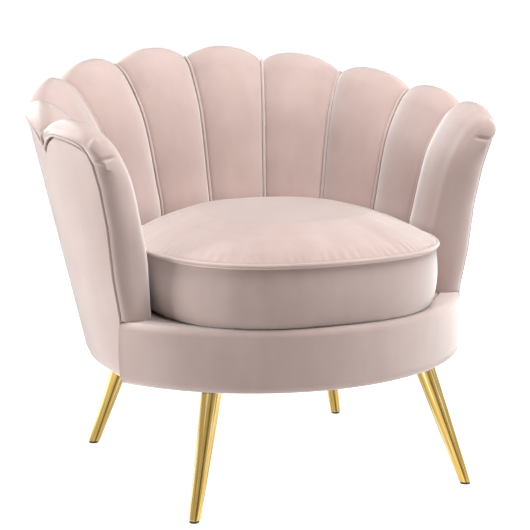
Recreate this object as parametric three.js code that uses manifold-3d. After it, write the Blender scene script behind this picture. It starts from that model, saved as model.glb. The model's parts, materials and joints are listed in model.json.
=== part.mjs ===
// Scallop back tub chair: ten padded petals round a timber frame, a loose seat cushion and four splayed legs.
// Millimetres, +Z up. The front faces -Y, and left and right are as seen from the front.
import * as THREE from "three";
import { mergeVertices } from "three/addons/utils/BufferGeometryUtils.js";
import Module from "manifold-3d";

const wasm = await Module();
wasm.setup();

// Clearances
const seat = 0.3;
const overrun = 5;

// Plan of the tub: half widths and rear reaches of its outer face, from the tub's centre
const planPower = 2.2;
const footLevel = 215;
const footHalfWidth = 334;
const footRearReach = 338;
const rimLevel = 652;
const rimHalfWidth = 434;
const rearRimLevel = 735;
const rearRimReach = 455;

// Arms: where their front edges stand, and how their front corners part from the plan above
const armEndAngle = THREE.MathUtils.degToRad(107.5);
const armTuckAngle = THREE.MathUtils.degToRad(70);
const armTopLevel = 617;
const armLevelShares = [0, 0.28, 0.46, 0.67, 0.85, 1];
const armEdgeOffsets = [-6, -25, -28, -38, -40, -35];
const armFrontThickness = 56;
const armNoseReach = 20;
const armNoseTurnShares = [0, 0.29, 0.56, 0.8];
const armFrontCrownShare = 0.3;

// Padding: ten petals from the deck up and over the crest
const petalsPerSide = 5;
const paddingFoot = 322.3;
const rearPadding = 76;
const sidePadding = 68.3;
const rearCrestLevel = 731;
const sideCrestLevel = 639;
const petalCrown = 24;
const petalShapePower = 2.4;
const paddingReachShares = [0, 0.05, 0.15, 0.3, 0.42, 0.55, 0.7, 0.84, 1];
const paddingHeightShares = [0, 0.3, 0.45, 0.65, 0.765, 0.845, 0.917, 0.969, 1];
const rollReach = 31;
const rollReachShares = [0.5, 0.87];
const rollDropShares = [0.09, 0.4];
const crownShares = [0.6, 0.7, 0.72, 0.75, 0.8, 0.85, 0.92, 0.98, 1, 0.9, 0.4];
const lipCrownShare = 0.1;
const stepShares = [-1, -0.8, -0.45, 0, 0.45, 0.8];

// Outer cover and its piping
const coverThickness = 8;
const coverHemRise = 25;
const coverHemInset = 2.7;
const coverHemStep = 6;
const hemGap = 1;
const scallopNotchDrop = 37;
const scallopRise = 36;
const armScallopShare = 0.75;
const scallopPower = 2.5;
const sidePanelStart = 2;
const pipingRadius = 2.7;
const pipingSides = 6;
const frontPipingSteps = 7;

// Timber frame
const railInset = 18;
const railWidth = 30;
const railHeight = 82;
const railSteps = 8;
const frontStep = 12;
const blockWidth = 72;
const blockHeight = 60;
const blockSteps = 3;
const blockHalfAngle = THREE.MathUtils.degToRad(8.5);
const legAngle = THREE.MathUtils.degToRad(45);
const ribThickness = 15;
const ribDepth = 38;
const postDepth = 26;
const postAngle = THREE.MathUtils.degToRad(103.5);
const linerThickness = 3;
const frameGap = 1;
const paddingGap = 2;
const armFrameGap = 5;
const topRailThickness = 16;
const topRailSideLevel = 585;
const topRailSlope = 0.2075;

// Front band and the seat's deck
const bandCentre = 82;
const bandReach = 389;
const bandPadding = 14;
const bandTop = 322;
const bandHemRadius = 18;
const bandHemShares = [0.17, 0.12, 0.5];
const bandTopRadius = 10;
const bandTopShares = [0.25, 0.33];
const bandFlangeDepth = 39;
const bandFlangeHeight = 19;
const bandSteps = 24;
const webbingThickness = 2;
const webbingWidth = 50;
const webbingPitch = 75;
const webbingPerSide = 2;
const webbingGrip = 17;
const deckInset = 58;
const dustCoverThickness = 2;
const dustCoverInset = 24;
const dustOpeningRadius = 42.5;

// Legs
const legFootReach = 264;
const legTopReach = 207;
const legTop = 210.2;
const legFootRadius = 10.4;
const legTopRadius = 18.5;
const legWall = 2;
const legFootLevel = 3.6;
const legFootRound = 1;
const legSides = 16;
const glideRadius = 9.9;
const glideEdge = 0.6;
const glideStemHeight = 14;
const plateSize = 58;
const plateThickness = 4;
const plateShift = 13;
const screwSpacing = 46;
const screwRadius = 2.2;
const screwHeadRadius = 3.6;
const screwHeadHeight = 2;
const screwLength = 22;
const screwSides = 8;

// Loose seat cushion
const cushionSideRoom = 24;
const cushionRearRoom = 34;
const cushionFrontRoom = 6;
const cushionCentre = -48;
const cushionPower = 2.25;
const cushionFrontPower = 2.5;
const cushionPipingLevel = 432;
const cushionPipingRadius = 4.5;
const cushionPipingSides = 8;
const cushionCrown = 46;
const cushionSideBulge = 6;
const cushionEdgeInset = 7;
const cushionSteps = 40;
const crownReachShares = [0.985, 0.93, 0.82, 0.66, 0.45, 0.22];
const crownRiseShares = [0.12, 0.36, 0.63, 0.84, 0.955, 0.995];
const sideLevelShares = [0.08, 0.3, 0.55, 0.8];
const sideBulgeShares = [0.35, 0.95, 1, 0.6];
const zipWidth = 16;
const zipThickness = 2;
const zipSteps = 6;

// Derived places
const petalAngle = armEndAngle / petalsPerSide;
const rearFootReach = tubRearReach(paddingFoot) - rearPadding;
const sideFootReach = tubHalfWidth(paddingFoot) - sidePadding;
const bandFlangeReach = bandReach - bandFlangeDepth;
const cushionHalfWidth = sideFootReach - cushionSideRoom;
const cushionRearReach = rearFootReach - cushionCentre - cushionRearRoom;
const cushionFrontReach = bandReach - bandCentre + cushionCentre - cushionFrontRoom;
const railTop = footLevel + railHeight;
const fullTurn = 2 * Math.PI;
const planeSteps = 20;
const outlineSteps = 48;
const openingSides = 24;

const velvet = { color: 0xdcc9c3, roughness: 0.85, metalness: 0 };
const velvetEdge = { color: 0xd2bdb6, roughness: 0.85, metalness: 0 };
const brass = { color: 0xc9a14a, roughness: 0.3, metalness: 1 };
const timber = { color: 0xc8a878, roughness: 0.7, metalness: 0 };
const board = { color: 0xb08c5c, roughness: 0.8, metalness: 0 };
const cloth = { color: 0x2b2b2d, roughness: 0.95, metalness: 0 };
const webbing = { color: 0x3f3a36, roughness: 0.9, metalness: 0 };
const steel = { color: 0x8d8f92, roughness: 0.45, metalness: 1 };
const plastic = { color: 0x1c1c1c, roughness: 0.6, metalness: 0 };

function mix(from, to, share) {
  return from + (to - from) * share;
}

function along(shares, values, share) {
  const last = shares.length - 1;
  let i = 0;
  while (i < last - 1 && share > shares[i + 1]) i += 1;
  return mix(values[i], values[i + 1], (share - shares[i]) / (shares[i + 1] - shares[i]));
}

// Reach of a rounded plan outline at an angle from the rear, with the given half width and depth
function planReach(angle, halfWidth, depth, power = planPower) {
  const across = (Math.abs(Math.sin(angle)) / halfWidth) ** power;
  const lengthwise = (Math.abs(Math.cos(angle)) / depth) ** power;
  return (across + lengthwise) ** (-1 / power);
}

// Half width of the tub at a level
function tubHalfWidth(level) {
  return mix(footHalfWidth, rimHalfWidth, (level - footLevel) / (rimLevel - footLevel));
}

// Reach of the tub's rear centre at a level
function tubRearReach(level) {
  return mix(footRearReach, rearRimReach, (level - footLevel) / (rearRimLevel - footLevel));
}

// Outer face of the tub at an angle from the rear and a level
function plainShellReach(angle, level) {
  return planReach(angle, tubHalfWidth(level), tubRearReach(level));
}

function shellReach(angle, level) {
  const turn = Math.abs(angle);
  const plain = plainShellReach(turn, level);
  const share = armShare(turn);
  const height = (level - footLevel) / (armTopLevel - footLevel);
  const edgeWidth = tubHalfWidth(level) + along(armLevelShares, armEdgeOffsets, height);
  const edge = edgeWidth / Math.sin(armEndAngle);
  return plain + (edge - plainShellReach(armEndAngle, level)) * share ** 2;
}

// How far the rear's heights lead the arms' at an angle: 1 at the rear centre, 0 at the arms' fronts
function rearShare(angle) {
  const turn = Math.min(1, Math.abs(angle) / armEndAngle);
  return (1 + Math.cos(Math.PI * turn)) / 2;
}

function crestLevel(angle) {
  return mix(sideCrestLevel, rearCrestLevel, rearShare(angle));
}

// Reach of a band circle of the given radius, seen from the tub's centre
function bandArcReach(angle, radius) {
  const back = bandCentre * Math.cos(angle);
  return back + Math.sqrt(radius ** 2 - (bandCentre * Math.sin(angle)) ** 2);
}

// Outer face of the timber seat frame
function timberReach(angle) {
  const turn = Math.min(Math.abs(angle), fullTurn - Math.abs(angle));
  if (turn > armEndAngle) return bandArcReach(turn, bandReach - bandPadding);
  return shellReach(turn, footLevel) - railInset;
}

// Top face of the top rails, a plane that falls from the back to the arms' fronts
function topRailLevel(y) {
  return topRailSideLevel + topRailSlope * y;
}

// Share of the way round the arm's front, from 0 at the side to 1 at the front edge
function armShare(angle) {
  return Math.max(0, (Math.abs(angle) - armTuckAngle) / (armEndAngle - armTuckAngle));
}

function frameDepth(angle) {
  const from = (petalsPerSide - 1) * petalAngle;
  const share = Math.min(1, Math.max(0, (Math.abs(angle) - from) / (postAngle - from)));
  return mix(ribDepth, postDepth, share);
}

// Depth of the frame's outer edge behind the tub's outer face
function frameInset(angle) {
  return coverThickness + frameGap + armFrameGap * armShare(angle) ** 2;
}

// Where the top rail's plane meets the tub's outer face less an inset, with a rise over the plane
function framePoint(angle, inset, rise) {
  let level = topRailSideLevel;
  let reach = shellReach(angle, level) - inset;
  for (let i = 0; i < planeSteps; i += 1) {
    reach = shellReach(angle, level) - inset;
    level = topRailLevel(reach * Math.cos(angle)) + rise;
  }
  return { reach, level };
}

// The tub's outer face made straight between the seat frame and the top rail
function frameReach(angle, level) {
  const top = framePoint(angle, 0, 0);
  return mix(shellReach(angle, railTop), top.reach, (level - railTop) / (top.level - railTop));
}

// A point at an angle from the rear, with an optional step along the outline
function place(angle, reach, level, step = 0) {
  const x = reach * Math.sin(angle) + step * Math.cos(angle);
  const y = reach * Math.cos(angle) - step * Math.sin(angle);
  return new THREE.Vector3(x, y, level);
}

function middleReach(p, q) {
  return Math.hypot(p.x + q.x, p.y + q.y);
}

// A closed solid through rings of equal count. Each face is split the way that stands further from the
// tub's middle, so faces that lie side by side bend alike. Flat ends are triangulated from their outline.
function loft(rings, closed = false) {
  const count = rings[0].length;
  const positions = [];
  const indices = [];
  rings.forEach((ring) => ring.forEach((p) => positions.push(p.x, p.y, p.z)));
  const last = closed ? rings.length : rings.length - 1;
  for (let r = 0; r < last; r += 1) {
    const next = (r + 1) % rings.length;
    const ring = rings[r];
    const after = rings[next];
    for (let i = 0; i < count; i += 1) {
      const j = (i + 1) % count;
      const a = r * count + i;
      const b = r * count + j;
      const c = next * count + j;
      const d = next * count + i;
      const splitAc = middleReach(ring[i], after[j]) > middleReach(ring[j], after[i]);
      indices.push(...(splitAc ? [a, b, c, a, c, d] : [a, b, d, b, c, d]));
    }
  }
  if (!closed) {
    capRing(rings[0]).forEach(([a, b, c]) => indices.push(a, c, b));
    const base = (rings.length - 1) * count;
    capRing(rings[rings.length - 1]).forEach(([a, b, c]) => indices.push(base + a, base + b, base + c));
  }
  return faceOut(positions, indices);
}

// Triangles of a flat ring, turned to run the way that the ring does
function capRing(ring) {
  const normal = new THREE.Vector3();
  ring.forEach((p, i) => normal.add(new THREE.Vector3().crossVectors(p, ring[(i + 1) % ring.length])));
  normal.normalize();
  const across = new THREE.Vector3().subVectors(ring[1], ring[0]);
  across.addScaledVector(normal, -across.dot(normal));
  across.normalize();
  const up = new THREE.Vector3().crossVectors(normal, across);
  const flat = ring.map((p) => new THREE.Vector2(p.dot(across), p.dot(up)));
  const faces = THREE.ShapeUtils.triangulateShape(flat, []);
  return THREE.ShapeUtils.area(flat) > 0 ? faces : faces.map(([a, b, c]) => [a, c, b]);
}

function solidVolume(positions, indices) {
  let six = 0;
  const a = new THREE.Vector3();
  const b = new THREE.Vector3();
  const c = new THREE.Vector3();
  for (let i = 0; i < indices.length; i += 3) {
    a.fromArray(positions, indices[i] * 3);
    b.fromArray(positions, indices[i + 1] * 3);
    c.fromArray(positions, indices[i + 2] * 3);
    six += a.dot(b.cross(c));
  }
  return six / 6;
}

// A geometry whose faces point out, whichever way its rings ran
function faceOut(positions, indices) {
  const turned = solidVolume(positions, indices) < 0;
  const faces = [];
  for (let i = 0; i < indices.length; i += 3) {
    const [a, b, c] = indices.slice(i, i + 3);
    if (turned) faces.push(a, c, b);
    else faces.push(a, b, c);
  }
  const geometry = new THREE.BufferGeometry();
  geometry.setAttribute("position", new THREE.Float32BufferAttribute(positions, 3));
  geometry.setIndex(faces);
  geometry.computeVertexNormals();
  return geometry;
}

// A tube whose section is held by a guide direction at each point
function tube(points, guides, radius, sides, closed = false) {
  const rings = points.map((point, i) => {
    const before = closed ? points[(i + points.length - 1) % points.length] : points[Math.max(0, i - 1)];
    const after = closed ? points[(i + 1) % points.length] : points[Math.min(points.length - 1, i + 1)];
    const tangent = new THREE.Vector3().subVectors(after, before).normalize();
    const side = new THREE.Vector3().crossVectors(tangent, guides[i]).normalize();
    const out = new THREE.Vector3().crossVectors(side, tangent);
    const ring = [];
    for (let k = 0; k < sides; k += 1) {
      const turn = (fullTurn * k) / sides;
      const spoke = new THREE.Vector3().addScaledVector(out, Math.cos(turn));
      spoke.addScaledVector(side, Math.sin(turn));
      ring.push(point.clone().addScaledVector(spoke, radius));
    }
    return ring;
  });
  return loft(rings, closed);
}

function toSolid(geometry) {
  const plain = geometry.clone();
  plain.deleteAttribute("normal");
  plain.deleteAttribute("uv");
  const merged = mergeVertices(plain);
  const mesh = new wasm.Mesh({
    numProp: 3,
    vertProperties: new Float32Array(merged.attributes.position.array),
    triVerts: new Uint32Array(merged.index.array),
  });
  return new wasm.Manifold(mesh);
}

function fromSolid(solid) {
  const mesh = solid.getMesh();
  const geometry = new THREE.BufferGeometry();
  geometry.setAttribute("position", new THREE.BufferAttribute(new Float32Array(mesh.vertProperties), 3));
  geometry.setIndex(new THREE.BufferAttribute(new Uint32Array(mesh.triVerts), 1));
  geometry.computeVertexNormals();
  return geometry;
}

function join(geometries) {
  const [first, ...rest] = geometries.map(toSolid);
  return fromSolid(rest.reduce((whole, piece) => whole.add(piece), first));
}

function cut(geometry, cutters) {
  return fromSolid(cutters.map(toSolid).reduce((left, cutter) => left.subtract(cutter), toSolid(geometry)));
}

const chair = new THREE.Group();

function add(name, geometry, finish) {
  const mesh = new THREE.Mesh(geometry, new THREE.MeshStandardMaterial(finish));
  mesh.name = name;
  chair.add(mesh);
  return mesh;
}

function steps(from, to, count) {
  return Array.from({ length: count + 1 }, (_, i) => mix(from, to, i / count));
}

// Padding

// The seam line between two petals at an angle: points up the inside, over the crest and down the roll
function seamLine(angle) {
  const side = Math.abs(angle);
  const foot = planReach(side, sideFootReach, rearFootReach);
  const crest = crestLevel(angle);
  const crestReach = shellReach(side, crest) - rollReach;
  const line = paddingReachShares.map((share, i) => ({
    reach: mix(foot, crestReach, share),
    level: mix(paddingFoot, crest, paddingHeightShares[i]),
  }));
  rollReachShares.forEach((share, i) => {
    const drop = (crest - pipingLevel(angle)) * rollDropShares[i];
    line.push({ reach: crestReach + rollReach * share, level: crest - drop });
  });
  return line;
}

// Place across a scallop: -1 and 1 at its notches, 0 at its peak
function scallopPlace(angle) {
  const count = Math.abs(angle) / petalAngle;
  const nearest = Math.round(count);
  if (Math.abs(count - nearest) * petalAngle * rimHalfWidth < seat / 2) return 1;
  return 2 * (count - Math.floor(count)) - 1;
}

// Share of the scallop's height: the half scallop that ends at an arm's front falls less
function scallopShare(angle) {
  return Math.abs(angle) > armEndAngle - petalAngle / 2 ? armScallopShare : 1;
}

// The level of the outer piping, scalloped petal by petal
function pipingLevel(angle) {
  const w = scallopPlace(angle);
  const rise = scallopRise * (1 - scallopShare(angle) * Math.abs(w) ** scallopPower);
  return crestLevel(angle) - scallopNotchDrop + rise;
}

// Rise needed beside the piping, where its scallop is steep
function pipingRoom(angle) {
  const w = Math.abs(scallopPlace(angle));
  const rise = scallopShare(angle) * scallopRise * scallopPower * w ** (scallopPower - 1);
  const run = (petalAngle / 2) * shellReach(angle, rimLevel);
  return (pipingRadius + seat) * Math.sqrt(1 + (rise / run) ** 2);
}

// Petal section: the seam line swollen by the crown, the lip at the piping, and the back round the frame
function petalSection(angle, fullness, whole) {
  const line = seamLine(angle);
  const lipLevel = pipingLevel(angle) + pipingRoom(angle);
  const swell = petalCrown * fullness;
  const points = line.map((p, i) => {
    const before = line[Math.max(0, i - 1)];
    const after = line[Math.min(line.length - 1, i + 1)];
    const run = after.reach - before.reach;
    const climb = after.level - before.level;
    const size = Math.hypot(run, climb);
    const push = swell * crownShares[i];
    const lift = i === 0 ? 0 : (push * run) / size;
    return { reach: p.reach - (push * climb) / size, level: p.level + lift };
  });
  const skin = shellReach(angle, lipLevel) + swell * lipCrownShare;
  points.push({ reach: skin, level: lipLevel });
  const inset = whole ? 0 : coverThickness + pipingRadius + seat;
  const linerInset = whole ? 0 : frameInset(angle) + frameDepth(angle) + linerThickness + paddingGap;
  const outerEnd = framePoint(angle, inset, seat);
  const innerEnd = framePoint(angle, linerInset, seat);
  points.push({ reach: shellReach(angle, lipLevel) - inset, level: lipLevel - seat });
  points.push({ reach: outerEnd.reach, level: outerEnd.level });
  points.push({ reach: innerEnd.reach, level: innerEnd.level });
  points.push({ reach: frameReach(angle, paddingFoot) - linerInset, level: paddingFoot });
  return points;
}

function fullnessAt(share, isFront) {
  const depth = isFront && share > 0 ? 1 - armFrontCrownShare : 1;
  return 1 - depth * Math.abs(share) ** petalShapePower;
}

// Half the gap to the next petal, taken off along the outline
function petalRing(index, share, mirror, isFront) {
  const angle = petalAngle * (index + (share + 1) / 2);
  const gap = (-share * seat) / 2;
  const step = isFront && share > 0 ? 0 : gap;
  const section = petalSection(angle, fullnessAt(share, isFront), false);
  return section.map((p) => mirrorPoint(place(angle, p.reach, p.level, step), mirror));
}

function mirrorPoint(point, mirror) {
  return new THREE.Vector3(point.x * mirror, point.y, point.z);
}

// The front petal's round nose past the arm's front edge
function noseRing(turn, mirror) {
  const shrink = Math.cos(turn);
  const start = pipingRadius + 2 * seat;
  const forward = start + armNoseReach * Math.sin(turn);
  const section = petalSection(armEndAngle, fullnessAt(1, true), true);
  const shoulder = Math.max(...section.map((p) => p.level)) - armFrontThickness;
  return section.map((p) => {
    const spine = shellReach(armEndAngle, p.level) - armFrontThickness / 2;
    const reach = mix(spine, p.reach, shrink);
    const level = p.level > shoulder ? mix(shoulder, p.level, shrink) : p.level;
    return mirrorPoint(place(armEndAngle, reach, level, forward), mirror);
  });
}

function petal(index, mirror) {
  const isFront = index === petalsPerSide - 1;
  const rings = [...stepShares, 1].map((share) => petalRing(index, share, mirror, isFront));
  if (isFront) armNoseTurnShares.forEach((share) => rings.push(noseRing((share * Math.PI) / 2, mirror)));
  return loft(rings);
}

function addPetals() {
  for (let i = 0; i < petalsPerSide; i += 1) {
    add("petal_left_" + (i + 1), petal(i, -1), velvet);
    add("petal_right_" + (i + 1), petal(i, 1), velvet);
  }
}

// Outer cover

// Angles of the cover and of every piece that follows its scallops
function sharedAngles(from, to) {
  const angles = [];
  for (let k = from; k < to; k += 1) {
    stepShares.forEach((share) => angles.push(petalAngle * (k + (share + 1) / 2)));
  }
  angles.push(petalAngle * to);
  return angles;
}

function coverSection(angle) {
  const top = pipingLevel(angle) - pipingRoom(angle);
  const hem = footLevel + hemGap;
  const bend = footLevel + coverHemRise;
  const outer = [
    { reach: shellReach(angle, hem) - railInset + seat, level: hem },
    { reach: shellReach(angle, hem) - coverThickness, level: hem },
    { reach: shellReach(angle, hem) - coverHemInset, level: hem + coverHemStep },
    { reach: shellReach(angle, bend), level: bend },
  ];
  const levels = armLevelShares.slice(1, -1).map((share) => mix(footLevel, armTopLevel, share));
  const span = levels.filter((level) => level < top - 2 * coverThickness);
  while (span.length < levels.length) span.push(mix(span[span.length - 1], top, 1 / 2));
  span.forEach((level) => outer.push({ reach: shellReach(angle, level), level }));
  outer.push({ reach: shellReach(angle, top), level: top });
  const inner = [top, ...span.slice().reverse(), bend].map((level) => ({
    reach: shellReach(angle, level) - coverThickness,
    level,
  }));
  return [...outer, ...inner];
}

function coverPanel(from, to) {
  const angles = sharedAngles(Math.min(from, to), Math.max(from, to));
  const first = angles[0];
  const last = angles[angles.length - 1];
  const rings = angles.map((angle) => {
    const isArmEnd = Math.abs(angle) > armEndAngle - petalAngle / 100;
    const gap = isArmEnd ? pipingRadius + seat : seat / 2;
    let step = 0;
    if (angle === first) step = gap;
    if (angle === last) step = -gap;
    return coverSection(angle).map((p) => place(angle, p.reach, p.level, step));
  });
  return loft(rings);
}

function addCovers() {
  add("outer_cover_back", coverPanel(-sidePanelStart, sidePanelStart), velvet);
  add("outer_cover_right", coverPanel(sidePanelStart, petalsPerSide), velvet);
  add("outer_cover_left", coverPanel(-petalsPerSide, -sidePanelStart), velvet);
}

// The piping runs up one arm's front edge, round the scallops and down the other
function addOuterPiping() {
  const foot = footLevel + coverThickness;
  const front = steps(foot, pipingLevel(armEndAngle) - coverThickness, frontPipingSteps);
  const points = [];
  const guides = [];
  const push = (angle, level) => {
    points.push(place(angle, shellReach(angle, level) + seat, level));
    guides.push(place(angle, 1, 0));
  };
  front.forEach((level) => push(-armEndAngle, level));
  sharedAngles(-petalsPerSide, petalsPerSide).forEach((angle) => push(angle, pipingLevel(angle)));
  front.slice().reverse().forEach((level) => push(armEndAngle, level));
  add("outer_piping", tube(points, guides, pipingRadius, pipingSides), velvetEdge);
}

// Timber frame

function sector(from, to, count, width, bottom, top) {
  const turn = frontStep / bandReach;
  const corners = [armEndAngle, armEndAngle + turn, -armEndAngle, -armEndAngle - turn];
  const inside = corners.filter((angle) => angle > from && angle < to);
  const angles = [...steps(from, to, count), ...inside].sort((a, b) => a - b);
  const rings = angles.map((angle) => {
    const outer = timberReach(angle);
    return [
      place(angle, outer - width, bottom),
      place(angle, outer, bottom),
      place(angle, outer, top),
      place(angle, outer - width, top),
    ];
  });
  return loft(rings);
}

function addSeatFrame() {
  const gap = seat / footHalfWidth;
  const rearCorner = legAngle;
  const frontCorner = Math.PI - legAngle;
  const cleared = blockHalfAngle + gap;
  const rail = (from, to) => sector(from, to, railSteps, railWidth, footLevel, railTop);
  add("rear_rail", rail(-rearCorner + cleared, rearCorner - cleared), timber);
  add("front_rail", rail(frontCorner + cleared, fullTurn - frontCorner - cleared), timber);
  add("right_rail", rail(rearCorner + cleared, frontCorner - cleared), timber);
  add("left_rail", rail(-frontCorner + cleared, -rearCorner - cleared), timber);
  const top = footLevel + blockHeight;
  legCorners().forEach(({ name, angle }) => {
    const from = angle - blockHalfAngle;
    const block = sector(from, from + 2 * blockHalfAngle, blockSteps, blockWidth, footLevel, top);
    const holes = screwTools(angle, screwRadius + seat, screwLength + 2 * overrun, footLevel - overrun);
    add("corner_block_" + name, cut(block, holes), timber);
  });
}

// Upright rib in a radial plane, from the seat frame to the top rail
function rib(angle, fullDepth) {
  const near = frameInset(angle) + frameGap;
  const depth = fullDepth - 2 * frameGap;
  const tilt = (topRailSlope * ribThickness * Math.abs(Math.sin(angle))) / 2;
  const drop = -topRailThickness - seat - tilt;
  const outerTop = framePoint(angle, near, drop);
  const innerTop = framePoint(angle, near + depth, drop);
  const foot = railTop + seat;
  const section = [
    { reach: frameReach(angle, foot) - near, level: foot },
    { reach: frameReach(angle, outerTop.level) - near, level: outerTop.level },
    { reach: frameReach(angle, innerTop.level) - near - depth, level: innerTop.level },
    { reach: frameReach(angle, foot) - near - depth, level: foot },
  ];
  const sides = [-ribThickness / 2, ribThickness / 2];
  return loft(sides.map((step) => section.map((p) => place(angle, p.reach, p.level, step))));
}

function topRail(angles) {
  const rings = angles.map((angle) => {
    const near = frameInset(angle);
    const far = near + frameDepth(angle);
    return [
      framePoint(angle, near, -topRailThickness),
      framePoint(angle, near, 0),
      framePoint(angle, far, 0),
      framePoint(angle, far, -topRailThickness),
    ].map((p) => place(angle, p.reach, p.level));
  });
  return loft(rings);
}

// The angles that every bent piece of the back shares, so that their faces lie alike
function bentAngles(from, to) {
  const between = sharedAngles(-petalsPerSide, petalsPerSide).filter((angle) => {
    return angle > from + seat / rimHalfWidth && angle < to - seat / rimHalfWidth;
  });
  return [from, ...between, to];
}

function addBackFrame() {
  const outermost = petalsPerSide - 1;
  for (let k = -outermost; k <= outermost; k += 1) {
    const name = k === 0 ? "rib_centre" : "rib_" + (k < 0 ? "left_" : "right_") + Math.abs(k);
    add(name, rib(petalAngle * k, ribDepth), timber);
  }
  add("arm_post_right", rib(postAngle, postDepth), timber);
  add("arm_post_left", rib(-postAngle, postDepth), timber);
  const joint = sidePanelStart * petalAngle;
  const gap = seat / rimHalfWidth;
  const railEnd = postAngle + ribThickness / 2 / rimHalfWidth;
  add("top_rail_back", topRail(bentAngles(-joint + gap, joint - gap)), timber);
  add("top_rail_right", topRail(bentAngles(joint + gap, railEnd)), timber);
  add("top_rail_left", topRail(bentAngles(-railEnd, -joint - gap)), timber);
}

// Thin bent board in front of the ribs
function addLiner() {
  const end = postAngle + ribThickness / rimHalfWidth;
  const rings = bentAngles(-end, end).map((angle) => {
    const near = frameInset(angle) + frameDepth(angle) + seat;
    const far = near + linerThickness;
    const drop = -topRailThickness - seat;
    const outerTop = framePoint(angle, near, drop);
    const innerTop = framePoint(angle, far, drop);
    return [
      { reach: frameReach(angle, railTop) - near, level: railTop + seat },
      { reach: frameReach(angle, outerTop.level) - near, level: outerTop.level },
      { reach: frameReach(angle, innerTop.level) - far, level: innerTop.level },
      { reach: frameReach(angle, railTop) - far, level: railTop + seat },
    ].map((p) => place(angle, p.reach, p.level));
  });
  add("inner_liner", loft(rings), board);
}

// Front band and deck

function bandSection(angle) {
  const inner = bandReach - bandPadding + 2 * seat;
  const hem = footLevel + hemGap;
  const low = bandHemRadius;
  const high = bandTopRadius;
  const flange = bandTop - bandFlangeHeight;
  const outline = [
    [inner, hem],
    [inner + low * bandHemShares[0], hem],
    [bandReach - low * bandHemShares[1], hem + low * bandHemShares[2]],
    [bandReach, hem + low],
    [bandReach, bandTop - high],
    [bandReach - high * bandTopShares[0], bandTop - high * bandTopShares[1]],
    [bandReach - high, bandTop],
    [bandFlangeReach, bandTop],
    [bandFlangeReach, flange],
    [inner, flange],
  ];
  return outline.map(([radius, level]) => ({ reach: bandArcReach(angle, radius), level }));
}

function addBand() {
  const turns = steps(armEndAngle, fullTurn - armEndAngle, bandSteps);
  const step = pipingRadius + 2 * seat;
  const rings = turns.map((angle, i) => {
    let shift = 0;
    if (i === 0) shift = step;
    if (i === turns.length - 1) shift = -step;
    return bandSection(angle).map((p) => place(angle, p.reach, p.level, shift));
  });
  add("front_band", loft(rings), velvet);
}

function webbingStrap(length, x, y, turned) {
  const strap = new THREE.BoxGeometry(webbingWidth, length, webbingThickness);
  if (turned) strap.rotateZ(Math.PI / 2);
  strap.translate(x, y, railTop + seat + webbingThickness / 2);
  return strap;
}

function addSeatSupport() {
  const straps = [];
  const gripReach = bandReach - bandPadding - webbingGrip;
  for (let k = -webbingPerSide; k <= webbingPerSide; k += 1) {
    const offset = k * webbingPitch;
    const outside = Math.abs(offset) + webbingWidth / 2;
    const front = bandCentre - Math.sqrt(gripReach ** 2 - outside ** 2);
    const rearGrip = footRearReach - railInset - webbingGrip;
    const rear = Math.sqrt(rearGrip ** 2 - outside ** 2);
    straps.push(webbingStrap(rear - front, offset, (rear + front) / 2, false));
    const sideGrip = footHalfWidth - railInset - webbingGrip;
    const half = Math.sqrt(sideGrip ** 2 - outside ** 2);
    straps.push(webbingStrap(2 * half, 0, offset, true));
  }
  add("seat_webbing", join(straps), webbing);
  const bottom = railTop + 2 * seat + webbingThickness;
  const rings = [bottom, bandTop].map((level) => {
    return steps(0, fullTurn, outlineSteps).slice(1).map((angle) => {
      const turn = Math.min(angle, fullTurn - angle);
      const shell = shellReach(turn, railTop) - deckInset;
      const band = bandArcReach(turn, bandFlangeReach - 2 * seat);
      return place(angle, turn > armEndAngle ? Math.min(shell + deckInset, band) : shell, level);
    });
  });
  add("deck_pad", loft(rings), cloth);
}

function addDustCover() {
  const top = footLevel - seat;
  const rings = [top - dustCoverThickness, top].map((level) => {
    return steps(0, fullTurn, outlineSteps).slice(1).map((angle) => {
      return place(angle, timberReach(angle) + railInset - dustCoverInset, level);
    });
  });
  const reach = legPoint(1).length();
  const openings = legCorners().map(({ angle }) => {
    const radius = dustOpeningRadius;
    const opening = new THREE.CylinderGeometry(radius, radius, 2 * overrun, openingSides);
    opening.rotateX(Math.PI / 2);
    const centre = place(angle, reach - plateShift, top - dustCoverThickness / 2);
    return opening.translate(centre.x, centre.y, centre.z);
  });
  add("dust_cover", cut(loft(rings), openings), cloth);
}

// Legs

function legCorners() {
  return [
    { name: "rear_right", x: 1, y: 1, angle: legAngle },
    { name: "rear_left", x: -1, y: 1, angle: -legAngle },
    { name: "front_right", x: 1, y: -1, angle: Math.PI - legAngle },
    { name: "front_left", x: -1, y: -1, angle: legAngle - Math.PI },
  ];
}

// A point on a leg's axis in plan, at a share of its height
function legPoint(share) {
  const reach = mix(legFootReach, legTopReach, share);
  return new THREE.Vector2(reach, reach);
}

// A ring of a splayed round bar, cut level
function slantedRing(corner, level, radius) {
  const foot = legPoint(0);
  const top = legPoint(1);
  const lean = top.sub(foot);
  const axis = new THREE.Vector3(lean.x * corner.x, lean.y * corner.y, legTop).normalize();
  const centre = legPoint(level / legTop);
  const across = new THREE.Vector3(-corner.y, corner.x, 0).normalize();
  const lengthwise = new THREE.Vector3().crossVectors(axis, across);
  return steps(0, fullTurn, legSides).slice(1).map((turn) => {
    const point = new THREE.Vector3(centre.x * corner.x, centre.y * corner.y, level);
    point.addScaledVector(across, radius * Math.cos(turn));
    point.addScaledVector(lengthwise, radius * Math.sin(turn));
    return point.addScaledVector(axis, (level - point.z) / axis.z);
  });
}

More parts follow.
